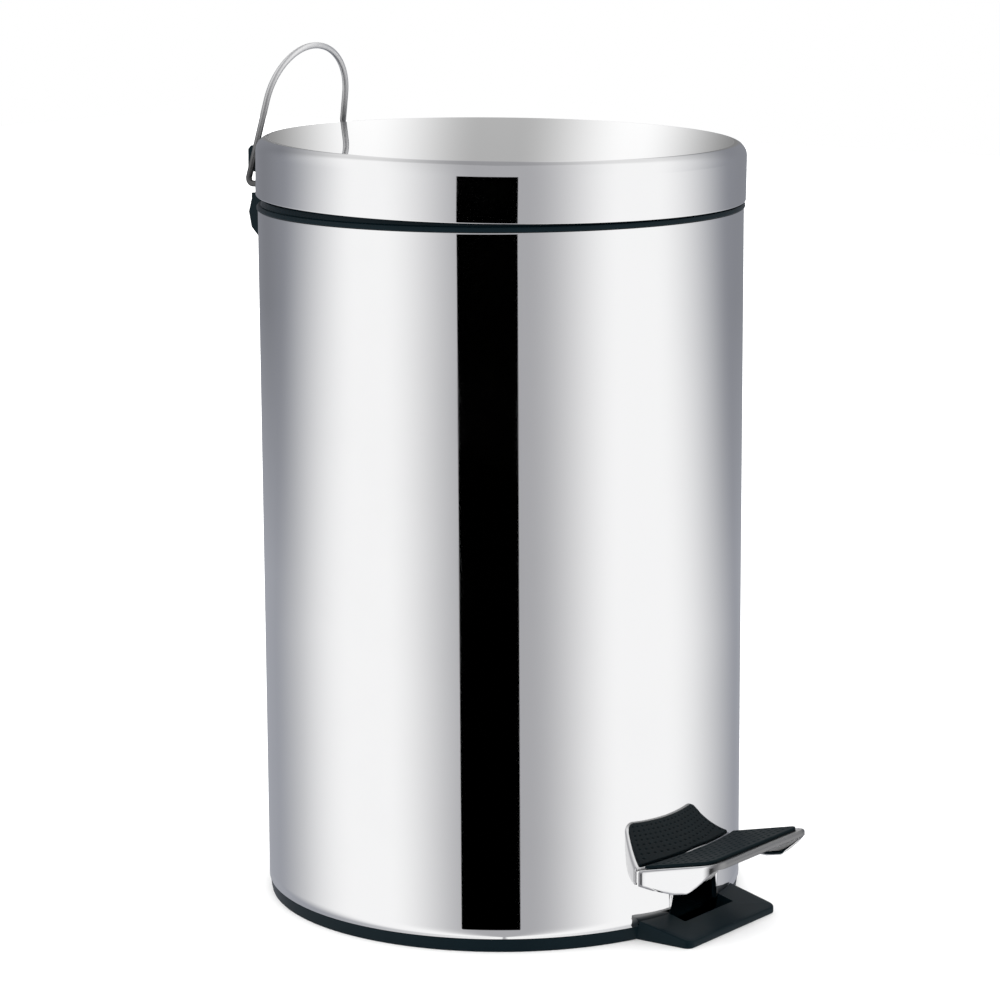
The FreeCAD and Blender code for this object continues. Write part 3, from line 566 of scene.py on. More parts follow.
def finishes():
    """Makes each finish once."""
    if not FINISHES:
        chosen = bpy.context.scene.pedalbin_finish
        FINISHES["polished_steel"] = polished_steel(tuple(chosen.steel))
        FINISHES["pressed_steel"] = pressed_steel(tuple(chosen.steel))
        FINISHES["satin_strip"] = satin_strip(tuple(chosen.steel))
        FINISHES["worn_wire"] = worn_wire(tuple(chosen.steel))
        FINISHES["black_plastic"] = moulded_black("black_plastic", tuple(chosen.plastic), 0.24, 0.10)
        FINISHES["black_rubber"] = black_rubber(tuple(chosen.rubber))
        FINISHES["plated_steel"] = zinc_plate("plated_steel", (0.56, 0.57, 0.58), 0.20)
        FINISHES["fastener_steel"] = zinc_plate("fastener_steel", (0.48, 0.47, 0.44), 0.28)
        FINISHES["bucket_plastic"] = bucket_plastic(tuple(chosen.bucket))
    return FINISHES


# ---- the body


def make_body_shell(scene):
    """Rolled wall: points (R sin(s / R), -R cos(s / R), z) over a sheet in (s, z).

    The lower edge of the sheet follows the slot's outline, and the columns spread back to an even
    spacing by the first level row above it.
    """
    sizes = scene.pedalbin_shell
    radius, bottom, top = sizes.radius, SHELL_LOW[2], SHELL_HIGH[2]
    side = radius * np.arcsin(sizes.slot_half / radius)
    reach = side + 3 * MM
    notch = rounded([(-reach, bottom), (-side, bottom), (-side, sizes.slot_top), (side, sizes.slot_top),
                     (side, bottom), (reach, bottom)],
                    [0, 0.8 * MM, 2.5 * MM, 2.5 * MM, 0.8 * MM, 0], 5, closed=False)
    notch = notch[1:-1]
    half_turn = np.pi * radius
    count = sizes.segments // 2
    run = np.linspace(-half_turn, -reach, count)
    left = np.stack([run, np.full(count, bottom)], axis=-1)
    edge = np.concatenate([left, notch, left[::-1] * [-1, 1]])
    spread = np.concatenate([run, np.linspace(-reach, reach, len(notch) + 2)[1:-1], -run[::-1]])
    level = sizes.slot_top + 20 * MM
    rise = np.linspace(0, 1, 9)[:, None]
    low = np.stack([edge[:, 0] + (spread - edge[:, 0]) * rise,
                    edge[:, 1] + (level - edge[:, 1]) * rise], axis=-1)
    heights = np.concatenate([np.linspace(level, top, 9)[1:-1], [top - 1 * MM, top]])
    high = np.stack(np.broadcast_arrays(spread[None, :], heights[:, None]), axis=-1)
    sheet = np.concatenate([low, high])
    angle = sheet[..., 0] / radius
    points = np.stack([radius * np.sin(angle), -radius * np.cos(angle), sheet[..., 1]], axis=-1)
    made = piece("steel_wall", [(points, False, False)], finishes()["polished_steel"], "root",
                 ["body_shell"], closed=False)
    wall = made.modifiers.new("sheet", "SOLIDIFY")
    wall.thickness = sizes.sheet
    wall.offset = -1
    return made


def make_rim_ring(scene):
    """Ring round the mouth: a rounded profile turned round Z, stepped back where the rod passes."""
    count = scene.pedalbin_shell.segments
    profile = rounded(
        np.array([(119.5, 352), (124.2, 352), (124.2, 360.5), (125.6, 360.5), (125.6, 361.9), (124.9, 362.8),
                  (123.4, 363.1), (122.8, 366), (118.5, 366), (118.5, 360)]) * MM,
        np.array([0.3, 0.3, 0.1, 0.45, 0.3, 0.4, 0.6, 0.9, 0.9, 0.8]) * MM, 5, 0.15 * MM)
    half = 12 * MM
    turn = np.arcsin(half / (120 * MM))
    outside = np.linspace(-np.pi + turn, np.pi - turn, count)
    inside = np.linspace(np.pi - turn, np.pi + turn, 14)
    angle = np.concatenate([outside, inside])
    stepped = np.concatenate([np.zeros(len(outside), bool), np.ones(len(inside), bool)])
    radius = np.repeat(profile[:, 0, None], len(angle), axis=1)
    height = np.repeat(profile[:, 1, None], len(angle), axis=1)
    wall = 123.3 * MM
    radius = np.where(stepped[None], np.maximum(radius, wall), radius)
    height = np.where(stepped[None], np.minimum(height, 362.6 * MM), height)
    points = np.stack([radius * np.sin(angle), -radius * np.cos(angle), height], axis=-1)
    return piece("rim_moulding", [(points, True, True)], finishes()["black_plastic"], "root",
                 ["rim_ring"])


def make_base(scene):
    """Base: a turned ring and floor with a rounded wedge for the foot plate, joined and then cut."""
    count = scene.pedalbin_shell.segments
    black = finishes()["black_plastic"]
    dish = rounded(np.array([(0, 0), (123.7, 0), (124.8, 7.2), (124.2, 7.2), (124.2, 24), (121.5, 24),
                             (121.5, 3), (100, 3), (100, 27), (88, 27), (88, 3), (0, 3)]) * MM,
                   np.array([0, 0.6, 0.45, 0.1, 0.5, 0.5, 1.2, 1.0, 0.6, 0.6, 1.0, 0]) * MM, 4, closed=False)
    made = piece("base_ring", [(turned(dish, count), False, True)], black, "root",
                 ["base_moulding"])

    outline = rounded(np.array([(-41.4, -114), (-39, -148), (39, -148), (41.4, -114)]) * MM,
                      np.array([0, 4, 4, 0]) * MM, 6)
    front, root = -148 * MM, -121 * MM
    low_top, high_top = 3.6 * MM, 10.5 * MM

    def top(plan):
        share = np.clip((plan[..., 1] - front) / (root - front), 0, 1)
        return low_top + (high_top - low_top) * share

    def bottom(plan):
        return 0 * plan[..., 0]

    wedge = slab(outline, bottom, top, 0.7 * MM, np.array([0, -128 * MM]), 4, 12)
    plate = piece("foot_wedge", [(wedge, False, True)], black, "root", [])

    inside = np.array([(0, 3), (121.5, 3), (121.5, 7.2), (125.05, 7.2), (125.05, 40), (0, 40)]) * MM
    room = cutter([(turned(inside, count), False, True)])
    slot = cutter([block_of((-21.5, -133, 1.2), (21.5, -96, 30))])
    lever_way = cutter([block_of((-20.5, -110, 3.0), (20.5, 110, 28))])
    rod_way = cutter([block_of((-13, 84, 3.0), (13, 128, 30))])
    take_away(plate, room, slot)
    take_away(made, slot, lever_way, rod_way)
    whole = bmesh.new()
    whole.from_mesh(made.data)
    whole.from_mesh(plate.data)
    whole.to_mesh(made.data)
    whole.free()
    for helper in (plate, room, slot, lever_way, rod_way):
        bpy.data.objects.remove(helper)
    made.data.shade_smooth()
    made.data.set_sharp_from_angle(angle=np.radians(35))
    return made


def block_of(low, high):
    """Grid over a box: a square drawn in, out and in again at its two heights, in millimetres."""
    low, high = np.array(low) * MM, np.array(high) * MM
    square = np.array([(low[0], low[1]), (high[0], low[1]), (high[0], high[1]), (low[0], high[1])])
    middle = np.broadcast_to(square.mean(axis=0), square.shape)
    rows = [(middle, low[2]), (square, low[2]), (square, high[2]), (middle, high[2])]
    points = [np.concatenate([plan, np.full((4, 1), height)], axis=1) for plan, height in rows]
    return np.stack(points), False, True


def cutter(grids):
    """A closed shape that is only used to cut others."""
    return piece("cutter", grids, finishes()["black_plastic"], "root", [])


def take_away(target, *tools):
    """Cuts closed shapes out of a closed mesh, one after another."""
    for tool in tools:
        step = target.modifiers.new("cut", "BOOLEAN")
        step.operation = "DIFFERENCE"
        step.solver = "MANIFOLD"
        step.object = tool
        shaped = bpy.data.meshes.new_from_object(target.evaluated_get(bpy.context.evaluated_depsgraph_get()))
        target.modifiers.remove(step)
        target.data = shaped


# ---- the lid


def make_lid(scene):
    """Lid: a closed profile of the drawn cup, its hem and its shallow dome, turned and leant."""
    sizes = scene.pedalbin_lid
    sheet = scene.pedalbin_shell.sheet
    r, low, top = sizes.radius, sizes.edge, sizes.edge + sizes.height
    inner = r - sheet
    shoulder = r - sizes.corner
    share = np.linspace(1, 0, 12)
    over_r = (shoulder - 3.2 * MM) * share
    over_z = top + sizes.dome * (1 - (over_r / shoulder) ** 2)
    outer = rounded(
        [(r - sizes.hem, low + sheet), (r - sizes.hem, low), (r, low), (r, top), (shoulder, top),
         (over_r[0], over_z[0])],
        [0, 0.3 * MM, 0.55 * MM, sizes.corner - 0.2 * MM, 0.6 * MM, 0], 14, closed=False)
    dome = np.stack([over_r, over_z], axis=-1)[1:]
    under = np.stack([over_r, over_z - sheet], axis=-1)[::-1]
    back = rounded(
        [(over_r[0], over_z[0] - sheet), (shoulder, top - sheet), (inner, top - sheet),
         (inner, low + 2 * sheet), (r - sizes.hem, low + 2 * sheet), (r - sizes.hem, low + sheet)],
        [0, 0.3 * MM, sizes.corner - sheet, 0.1 * MM, 0, 0], 10, closed=False)
    profile = np.concatenate([outer, dome, under, back[1:-1]])
    points = lean(turned(profile, scene.pedalbin_shell.segments), sizes.droop)
    made = piece("lid_cap", [(points, True, True)], finishes()["polished_steel"], "lid",
                 ["lid_shell"], crease=50)
    ring = rounded(
        np.array([(117.5, 373.2), (125.2, 373.2), (125.2, 378.2), (123, 378.2), (122, 375.2),
                  (117.5, 375.2)]) * MM,
        np.array([0.5, 0.4, 0.4, 0.4, 0.6, 0.5]) * MM, 4)
    turn = np.arcsin(14 / 121)
    angle = np.linspace(-np.pi + turn, np.pi - turn, scene.pedalbin_shell.segments)
    section = np.stack([ring[:, 0, None] * np.sin(angle), -ring[:, 0, None] * np.cos(angle),
                        ring[:, 1, None] + 0 * angle], axis=-1)
    middle = section[:, [0, -1]].mean(axis=0)
    caps = np.stack([np.broadcast_to(middle[0], section[:, 0].shape), section[:, 0]], axis=1)
    caps_end = np.stack([section[:, -1], np.broadcast_to(middle[1], section[:, 0].shape)], axis=1)
    whole = lean(np.concatenate([caps[:, :1], section, caps_end[:, 1:]], axis=1), sizes.droop)
    piece("lid_liner", [(whole, True, False)], finishes()["black_plastic"], "lid",
          ["lid_inner_ring"])
    return made


# ---- the pedal


TREAD_ROOT = np.array([-121, 37.2]) * MM
TREAD_MIDDLE = np.array([0, -143]) * MM
MAT_GAP = 0.02 * MM


def tread_height(sizes, y, above=0.0):
    """Height of the tread's face: it rises away from the body by the slope."""
    return TREAD_ROOT[1] + (TREAD_ROOT[0] - y) * np.tan(sizes.slope) + above


def tread_plan(half, reach, corner, root_radius, across, along):
    """Grid over the tread's plan: x spread by a sine so that it closes in at the sides, and y from
    the arc of the root to the front edge, which turns back by a quarter round at each corner."""
    x = half * np.sin(np.linspace(-np.pi / 2, np.pi / 2, across))
    near = -np.sqrt(root_radius ** 2 - x ** 2)
    past = np.clip(np.abs(x) - (half - corner), 0, corner)
    far = -(reach - corner) - np.sqrt(np.maximum(corner ** 2 - past ** 2, 0))
    share = np.linspace(0, 1, along)[:, None]
    y = near + (far - near) * share
    return np.stack([np.broadcast_to(x, y.shape), y], axis=-1)


def edge_of(grid, whole):
    """The grid's boundary in order: left side, front, right side and, if whole, the root."""
    loop = [grid[:, 0], grid[-1, 1:], grid[::-1, -1][1:]]
    if whole:
        loop.append(grid[0, ::-1][1:-1])
    return np.concatenate(loop)


def outward(loop, centre, closed):
    """Unit normals of a plan loop, pointing away from its centre."""
    if closed:
        along = unit(np.roll(loop, -1, axis=0) - np.roll(loop, 1, axis=0))
    else:
        along = unit(np.gradient(loop, axis=0))
    normal = np.stack([along[:, 1], -along[:, 0]], axis=-1)
    return normal * np.sign(((loop - centre) * normal).sum())


def make_tread(scene):
    """Pressed tread: a flat face, a quarter-round bend and a wall whose lower edge follows the side."""
    sizes = scene.pedalbin_pedal
    bend = 1.6 * MM
    half, reach = TREAD_HIGH[0], -TREAD_LOW[1]
    face = tread_plan(half - bend, reach - bend, sizes.corner - bend, 126.05 * MM, 61, 14)
    top = np.concatenate([face, tread_height(sizes, face[..., 1])[..., None]], axis=-1)
    loop = edge_of(face, False)
    normal = outward(loop, TREAD_MIDDLE, False)
    normal[0] = (-1, 0)
    normal[-1] = (1, 0)
    turn = np.linspace(0, np.pi / 2, 6)[:, None]
    bent = loop[None] + bend * np.sin(turn)[..., None] * normal[None]
    bent_z = tread_height(sizes, bent[..., 1]) - bend * (1 - np.cos(turn))
    wall = bent[-1]
    low = np.interp(-wall[:, 1], np.array([115, 127, 140, 149, 156, 164.5, 170]) * MM,
                    np.array([29, 28, 28.2, 30.2, 36.0, 44.6, 45.4]) * MM)
    drop = np.linspace(0, 1, 6)[1:, None]
    wall_z = bent_z[-1] + (low - bent_z[-1]) * drop
    wall_plan = np.broadcast_to(wall, (5,) + wall.shape)
    skirt = np.concatenate([np.concatenate([bent, bent_z[..., None]], axis=-1),
                            np.concatenate([wall_plan, wall_z[..., None]], axis=-1)])
    made = piece("steel_tread", [(top, False, False), (skirt, False, False)], finishes()["pressed_steel"],
                 "pedal", ["pedal_plate"], crease=60)
    pressed = made.modifiers.new("sheet", "SOLIDIFY")
    pressed.thickness = sizes.wall
    pressed.offset = -1
    return made


def make_mat(scene):
    """Rubber mat: a slab over the tread's plan whose top face carries rows of round dimples.

    Each dimple is a bowl, depth times (1 - d^2 / r^2) inside its radius, with d the distance to the
    nearest point of a square lattice; a plain border is left all round.
    """
    sizes = scene.pedalbin_pedal
    edge = 0.7 * MM
    half, reach = TREAD_HIGH[0] - sizes.mat_margin, -TREAD_LOW[1] - sizes.mat_front
    corner, root = sizes.mat_corner, 126.45 * MM
    face = tread_plan(half - edge, reach - edge, corner - edge, root + edge, 281, 121)
    x, y = face[..., 0], face[..., 1]
    pitch = sizes.dimple_pitch
    row_y = -(reach - 4.6 * MM)
    off_x = x - pitch * np.round(x / pitch)
    step = (y - row_y) / pitch
    off_y = (step - np.round(step)) * pitch
    lattice_x, lattice_y = x - off_x, y - off_y
    inside = ((np.abs(lattice_x) < half - 3.6 * MM) & (lattice_y > row_y - 0.1 * MM)
              & (lattice_y < -np.sqrt(root ** 2 - lattice_x ** 2) - 3.2 * MM))
    away = (off_x ** 2 + off_y ** 2) / sizes.dimple_radius ** 2
    bowl = np.where(inside, np.clip(1 - away, 0, 1) ** 0.7, 0.0) * sizes.dimple_depth
    top = np.concatenate([face, (tread_height(sizes, y, sizes.mat_thick) - bowl)[..., None]], axis=-1)
    loop = edge_of(face, True)
    normal = outward(loop, TREAD_MIDDLE, True)
    turn = np.linspace(0, np.pi / 2, 5)[:, None]
    side = loop[None] + edge * np.sin(turn)[..., None] * normal[None]
    high = tread_height(sizes, side[..., 1], sizes.mat_thick) - edge * (1 - np.cos(turn))
    upper = np.concatenate([side, high[..., None]], axis=-1)
    foot = side[::-1]
    low = tread_height(sizes, foot[..., 1], MAT_GAP) + 0.25 * edge * (1 - np.cos(turn[::-1]))
    lower = np.concatenate([foot, low[..., None]], axis=-1)
    base = np.concatenate([face, tread_height(sizes, y, MAT_GAP)[..., None]], axis=-1)
    wall = np.concatenate([upper, lower])
    return piece("tread_mat", [(top, False, False), (wall, False, True), (base, False, False)],
                 finishes()["black_rubber"], "pedal", ["pedal_mat"], crease=35)


def make_arm(scene):
    """Strip from the lever up to the tread: a rounded flat section carried along a bent side line."""
    sizes = scene.pedalbin_pedal
    thick = 2 * MM
    lever = 13 * MM
    drop = np.tan(np.radians(2.6))

    def on_lever(y):
        return lever - (y + 25 * MM) * drop + thick / 2

    def under(y):
        return tread_height(sizes, y, -sizes.wall - thick * 0.55)

    corners = [(-98, on_lever(-98 * MM)), (-120.5, on_lever(-120.5 * MM)), (-136.9, under(-136.9 * MM)),
               (-152, under(-152 * MM))]
    line = rounded([(y * MM, z) for y, z in corners], [0, 3 * MM, 4 * MM, 0], 8, closed=False)
    path = np.concatenate([np.zeros((len(line), 1)), line], axis=1)
    section = rounded(np.array([(-1, -19), (1, -19), (1, 19), (-1, 19)]) * MM, 0.45 * MM, 4, 0.3 * MM)
    return piece("tread_arm", [(carried(section, path, (1, 0, 0), 0.3 * MM, 2), False, True)],
                 finishes()["satin_strip"], "pedal", ["pedal_arm"], crease=45)


# ---- wires and bucket


def make_handle(scene):
    """Arched wire: a circle carried along cranked ends, straight legs and a half-round top."""
    sizes = scene.pedalbin_handle
    half, rise, arch, back = sizes.half, sizes.rise, sizes.arch, sizes.offset
    up = rise - arch
    leg = np.arctan2(up, -half) - np.arcsin(arch / np.hypot(half, up))
    shoulder = half + rise / np.tan(leg)
    corners = np.array([(sizes.end, 0, 0), (half, 0, 0), (half, back, 0),
                        (shoulder, back - rise * np.sin(sizes.lean), rise * np.cos(sizes.lean))])
    corners = np.concatenate([corners, corners[::-1] * (-1, 1, 1)]) + (0, HINGE[1], HINGE[2])
    bends = [0, 2.2 * MM, 3 * MM, arch - 0.05 * MM]
    path = rounded(corners, bends + bends[::-1], 32, 1 * MM, closed=False)
    return piece("carry_wire", [(carried(circle(sizes.wire, 28), path, (1, -1, 1), 0.3 * MM), False, True)],
                 finishes()["worn_wire"], "handle", ["carry_handle"], crease=60)


def make_bucket(scene):
    """Bucket: a rounded profile turned round Z, with two lugs for the bail."""
    sizes = scene.pedalbin_bucket
    low, rim = BUCKET_LOW[2], sizes.rim_height
    rim_radius = 114 * MM
    base, top, wall = sizes.base_radius, sizes.top_radius, sizes.wall
    profile = rounded(
        [(0, low), (base, low), (top, rim), (rim_radius, rim), (rim_radius, rim + 3 * MM),
         (top - wall, rim + 3 * MM), (base - wall, low + wall), (0, low + wall)],
        np.array([0, 2.4, 0.6, 0.5, 1.2, 1.2, 1.6, 0]) * MM, 6, 1 * MM, closed=False)
    lugs = []
    for sign in (-1, 1):
        outline = rounded(np.array([(-6, 351.5), (6, 351.5), (6, 360.9), (-6, 360.9)]) * MM,
                          np.array([0.5, 0.5, 3.6, 3.6]) * MM, 6)
        inner, outer = 109.5 * MM, 112.5 * MM
        block = slab(outline, lambda plan: inner + 0 * plan[..., 0], lambda plan: outer + 0 * plan[..., 0],
                     0.5 * MM, np.array([0, 356 * MM]), 3, 6)
        lugs.append((np.stack([sign * block[..., 2], block[..., 0], block[..., 1]], axis=-1), False, True))
    made = piece("lift_out_bucket", [(turned(profile, 192), False, True)] + lugs,
                 finishes()["bucket_plastic"], "root", ["inner_bucket"])
    turn = np.linspace(0, np.pi, 97)
    reach, level = sizes.bail_radius, sizes.bail_height
    bend = 4 * MM
    arc = np.stack([reach * np.cos(turn), -bend - reach * np.sin(turn)], axis=-1)
    hook = rounded([(115 * MM, 0), (reach, 0), (reach, -2 * bend)], [0, bend, 0], 8, closed=False)[:-2]
    flat = without_repeats(np.concatenate([hook, arc, hook[::-1] * [-1, 1]]), False)
    path = np.concatenate([flat, np.full((len(flat), 1), level)], axis=1)
    piece("bail_wire", [(carried(circle(1.5 * MM, 16), path, (0, 0, 1), 0.3 * MM), False, True)],
          finishes()["plated_steel"], "bail", ["bucket_bail"], crease=60)
    spread = np.radians(np.linspace(-18, 18, 61))
    grip_path = np.stack([reach * np.sin(spread), -bend - reach * np.cos(spread),
                          np.full(spread.shape, level)], axis=-1)
    grip = carried(circle(3.2 * MM, 28), grip_path, (0, 0, 1), 0.8 * MM)
    piece("bail_sleeve", [(grip, False, True)], finishes()["black_plastic"], "bail",
          ["bail_grip"], crease=60)
    return made


# ---- stage


# Where the camera stands and how it is turned, in degrees, metres and radians, and its lens in mm.
CAMERA_AZIMUTH = -52.0
CAMERA_DISTANCE = 1.7336777
CAMERA_HEIGHT = 0.5365354
CAMERA_YAW = -0.000694
CAMERA_PITCH = 0.188239
CAMERA_ROLL = -0.0051676
CAMERA_LENS = 121.286
LID_VIEW = np.radians(4.8)

# The surround that the steel reflects, as linear light: a middle, two panels and two far sides, and
# the same three zones on the wall behind the lid. The gain makes up for what the steel swallows.
CENTRE_LIGHT = (0.38, 0.38, 0.395)
PANEL_LIGHT = (0.905, 0.905, 0.905)
FAR_LIGHT = (0.25, 0.258, 0.285)
WALL_CENTRE = (0.375, 0.375, 0.375)
WALL_PANEL = (0.84, 0.84, 0.84)
WALL_FAR = (0.185, 0.185, 0.185)
METAL_GAIN = 1.266
FLAG_BEARING = -6.4
FLAG_HALF = 14.0
AMBIENT = 1.8


def make_stage(scene):
    """Pale floor, camera and soft surround with one narrow dark flag."""
    azimuth = np.radians(CAMERA_AZIMUTH)
    back = np.array([np.sin(azimuth), -np.cos(azimuth), 0])
    right = np.array([np.cos(azimuth), np.sin(azimuth), 0])
    forward = (np.cos(CAMERA_PITCH) * (np.cos(CAMERA_YAW) * -back + np.sin(CAMERA_YAW) * right)
               - np.array([0, 0, np.sin(CAMERA_PITCH)]))
    aside = np.cos(CAMERA_YAW) * right + np.sin(CAMERA_YAW) * back
    upward = np.cross(aside, forward)
    local_x = np.cos(CAMERA_ROLL) * aside + np.sin(CAMERA_ROLL) * upward
    local_y = -np.sin(CAMERA_ROLL) * aside + np.cos(CAMERA_ROLL) * upward
    place = back * CAMERA_DISTANCE + np.array([0, 0, CAMERA_HEIGHT])
    lens = bpy.data.cameras.new("studio_camera")
    lens.lens = CAMERA_LENS
    lens.sensor_width = 36
    lens.clip_start = 0.05
    lens.clip_end = 50
    camera = bpy.data.objects.new("studio_camera", lens)
    scene.collection.objects.link(camera)
    camera.matrix_world = Matrix(np.column_stack([
        np.append(local_x, 0), np.append(local_y, 0), np.append(-forward, 0), np.append(place, 1)]).tolist())
    scene.camera = camera

    edge = 4.0
    mesh = bpy.data.meshes.new("studio_floor")
    corners = [(-edge, -edge, 0), (edge, -edge, 0), (edge, edge, 0), (-edge, edge, 0)]
    mesh.from_pydata(corners, [], [(0, 1, 2, 3)])
    floor = bpy.data.objects.new("studio_floor", mesh)
    scene.collection.objects.link(floor)
    colour = tuple(scene.pedalbin_finish.floor)
    floor.data.materials.append(finish_of(
        "studio_floor", {"Roughness": 0.9, "Specular IOR Level": 0.0},
        lambda graph: {"Base Color": graph.shade(colour, tint(colour, 0.995),
                                                 graph.noise(graph.place(), 3.0))}))
    floor.visible_glossy = False

    world = bpy.data.worlds.new("studio")
    scene.world = world
    world.use_nodes = True
    graph = Graph(world.node_tree)
    direction = graph.add("ShaderNodeTexCoord", output="Generated")

    def along(axis):
        dot = graph.add("ShaderNodeVectorMath", {"operation": "DOT_PRODUCT"},
                        {0: direction, 1: tuple(axis)})
        dot.socket = dot.socket.node.outputs["Value"]
        return dot

    towards, sideways, height = along(back), along(right), along((0, 0, 1))
    bearing = sideways.math("ARCTAN2", towards) * float(np.degrees(1))
    turn = bearing.math("ABSOLUTE")
    rise = height.math("ARCSINE") * float(np.degrees(1))
    above = rise + 10
    shifted = bearing * (above.math("MAXIMUM", -3.0).math("MINIMUM", 5.0) * turn.smooth(55, 90) * 0.02 + 1)
    lidward = along(back * np.cos(LID_VIEW) + np.array([0, 0, np.sin(LID_VIEW)]))
    folded = sideways.math("ARCTAN2", lidward + 1) * float(2 * np.degrees(1))
    folded = folded * (folded.math("ABSOLUTE").smooth(55, 90) * 0.10 + 1)
    upper = rise.smooth(-3.5, 0.5)
    shifted = shifted * (1 - upper) + folded * upper
    near = shifted.math("ABSOLUTE").smooth(10, 58)
    far = shifted.smooth(78, 146) + (shifted * -1).smooth(72, 136)
    round_about = graph.blend(graph.shade(CENTRE_LIGHT, PANEL_LIGHT, near), FAR_LIGHT + (1.0,), far)
    near_level = above.math("MAXIMUM", -2.0).math("MINIMUM", 2.6)
    dim = (0.085 - sideways * 0.045) * near_level * turn.smooth(110, 150)
    round_about = graph.times(round_about, 1 - dim)
    beyond = sideways.math("ARCTAN2", 0 - towards) * float(np.degrees(1))
    apart = (beyond - 0.15).math("ABSOLUTE")
    back_wall = graph.blend(graph.shade(WALL_CENTRE, WALL_PANEL, apart.smooth(0.3, 2.3)),
                            WALL_FAR + (1.0,), apart.smooth(2.5, 4.4))
    on_wall = rise.smooth(0.5, 1.5) * (1 - rise.smooth(12, 20)) * (1 - beyond.math("ABSOLUTE").smooth(6, 12))
    soft = graph.blend(round_about, back_wall, on_wall)
    across = bearing.math("COMPARE", FLAG_BEARING, FLAG_HALF) * (1 - height.smooth(-0.063, -0.057))
    flag = across * height.smooth(-0.46, -0.40)
    lit = graph.times(soft, (1 - flag) * METAL_GAIN)
    rays = graph.add("ShaderNodeLightPath")
    seen = Value(graph, rays.socket.node.outputs["Is Camera Ray"])
    glossy = Value(graph, rays.socket.node.outputs["Is Glossy Ray"])
    surround = graph.add("ShaderNodeBackground", {}, {"Color": lit, "Strength": 1.0})
    ambient = graph.add("ShaderNodeBackground", {}, {"Color": (1, 1, 1, 1), "Strength": AMBIENT})
    backdrop = graph.add("ShaderNodeBackground", {}, {"Color": (1, 1, 1, 1), "Strength": 1.0})
    fill = graph.add("ShaderNodeMixShader", {}, {0: glossy, 1: ambient, 2: surround})
    final = graph.add("ShaderNodeMixShader", {}, {0: seen, 1: fill, 2: backdrop})
    graph.add("ShaderNodeOutputWorld", {}, {"Surface": final})
    scene.view_settings.view_transform = "Standard"


# ---- operators


CARRIED_OVER = {
    "black_rubber": ["anti_slip_feet", "lid_bumpers"],
    "black_plastic": ["body_hinge_leaf", "lid_hinge_leaf", "upper_rod_guide", "lower_rod_guide",
                      "rod_foot", "rod_cap"],
    "plated_steel": ["hinge_backing_plate", "pivot_brackets", "lid_clamp_plate", "lid_lift_tab",
                     "pedal_lever", "push_rod"],
    "fastener_steel": ["body_hinge_screws", "hinge_pin", "bracket_screws", "lever_pivot_pin",
                       "pivot_clips", "lid_rivets", "pedal_rivets"],
}


def dress_frame(scene):
    """Gives each CAD node that stays its own finish."""
    for finish, nodes in CARRIED_OVER.items():
        for node in nodes:
            slots = frame["nodes"][node].data.materials
            slots.clear()
            slots.append(finishes()[finish])


class PEDALBIN_OT_stage(bpy.types.Operator):
    """Make the floor, the camera and the soft surround"""
    bl_idname = "pedalbin.stage"
    bl_label = "Stage"

    def execute(self, context):
        make_stage(context.scene)
        return {"FINISHED"}


class PEDALBIN_OT_body_shell(bpy.types.Operator):
    """Make the rolled wall with the lever's slot"""
    bl_idname = "pedalbin.body_shell"
    bl_label = "Steel wall"

    def execute(self, context):
        make_body_shell(context.scene)
        return {"FINISHED"}


class PEDALBIN_OT_rim_ring(bpy.types.Operator):
    """Make the moulded ring round the mouth"""
    bl_idname = "pedalbin.rim_ring"
    bl_label = "Rim ring"

    def execute(self, context):
        make_rim_ring(context.scene)
        return {"FINISHED"}


class PEDALBIN_OT_base(bpy.types.Operator):
    """Make the moulded base with its foot plate"""
    bl_idname = "pedalbin.base"
    bl_label = "Base"

    def execute(self, context):
        make_base(context.scene)
        return {"FINISHED"}


class PEDALBIN_OT_lid(bpy.types.Operator):
    """Make the drawn lid and its liner"""
    bl_idname = "pedalbin.lid"
    bl_label = "Lid"

    def execute(self, context):
        make_lid(context.scene)
        return {"FINISHED"}


class PEDALBIN_OT_tread(bpy.types.Operator):
    """Make the pressed tread of the pedal"""
    bl_idname = "pedalbin.tread"
    bl_label = "Tread"

    def execute(self, context):
        make_tread(context.scene)
        return {"FINISHED"}


class PEDALBIN_OT_mat(bpy.types.Operator):
    """Make the dimpled rubber mat"""
    bl_idname = "pedalbin.mat"
    bl_label = "Mat"

    def execute(self, context):
        make_mat(context.scene)
        return {"FINISHED"}


class PEDALBIN_OT_arm(bpy.types.Operator):
    """Make the strip that carries the tread"""
    bl_idname = "pedalbin.arm"
    bl_label = "Arm"

    def execute(self, context):
        make_arm(context.scene)
        return {"FINISHED"}


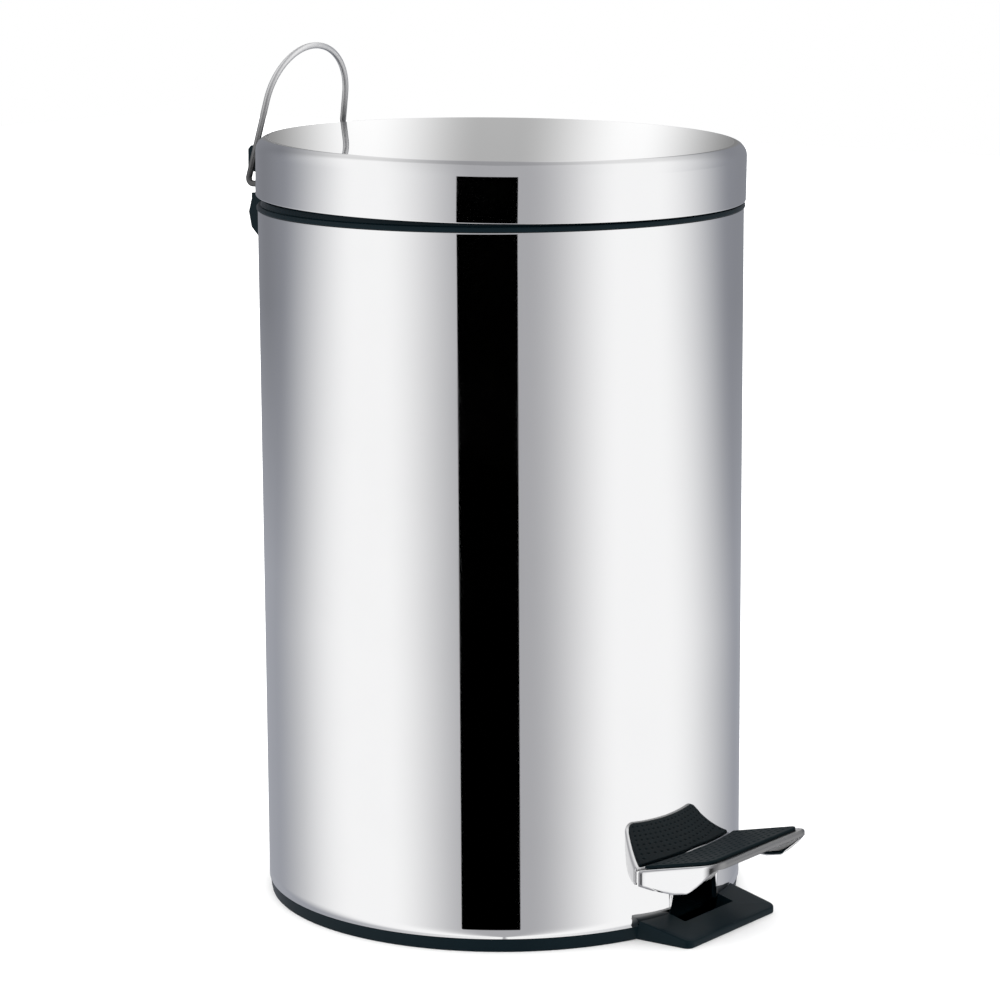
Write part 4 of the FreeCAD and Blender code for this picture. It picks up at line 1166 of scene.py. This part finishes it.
class PEDALBIN_OT_handle(bpy.types.Operator):
    """Make the arched wire handle"""
    bl_idname = "pedalbin.handle"
    bl_label = "Carry handle"

    def execute(self, context):
        make_handle(context.scene)
        return {"FINISHED"}


class PEDALBIN_OT_bucket(bpy.types.Operator):
    """Make the bucket, its bail and the grip"""
    bl_idname = "pedalbin.bucket"
    bl_label = "Bucket"

    def execute(self, context):
        make_bucket(context.scene)
        return {"FINISHED"}


class PEDALBIN_OT_frame_finish(bpy.types.Operator):
    """Give the CAD parts that stay their finishes"""
    bl_idname = "pedalbin.frame_finish"
    bl_label = "Inner parts"

    def execute(self, context):
        dress_frame(context.scene)
        return {"FINISHED"}


OPERATORS = [
    PEDALBIN_OT_stage,
    PEDALBIN_OT_body_shell,
    PEDALBIN_OT_rim_ring,
    PEDALBIN_OT_base,
    PEDALBIN_OT_lid,
    PEDALBIN_OT_tread,
    PEDALBIN_OT_mat,
    PEDALBIN_OT_arm,
    PEDALBIN_OT_handle,
    PEDALBIN_OT_bucket,
    PEDALBIN_OT_frame_finish,
]


class PEDALBIN_PT_panel(bpy.types.Panel):
    """Lists the bin's operators in the sidebar."""
    bl_label = "Pedal bin"
    bl_space_type = "VIEW_3D"
    bl_region_type = "UI"
    bl_category = "Pedal bin"

    def draw(self, context):
        for maker in OPERATORS:
            self.layout.operator(maker.bl_idname)


def register():
    for group in GROUPS.values():
        bpy.utils.register_class(group)
    for name, group in GROUPS.items():
        setattr(bpy.types.Scene, name, PointerProperty(type=group))
    for maker in OPERATORS:
        bpy.utils.register_class(maker)
    bpy.utils.register_class(PEDALBIN_PT_panel)


def unregister():
    bpy.utils.unregister_class(PEDALBIN_PT_panel)
    for maker in reversed(OPERATORS):
        bpy.utils.unregister_class(maker)
    for name, group in GROUPS.items():
        delattr(bpy.types.Scene, name)
        bpy.utils.unregister_class(group)


def main():
    register()
    for maker in OPERATORS:
        family, name = maker.bl_idname.split(".")
        getattr(getattr(bpy.ops, family), name)()


if __name__ == "__main__":
    main()
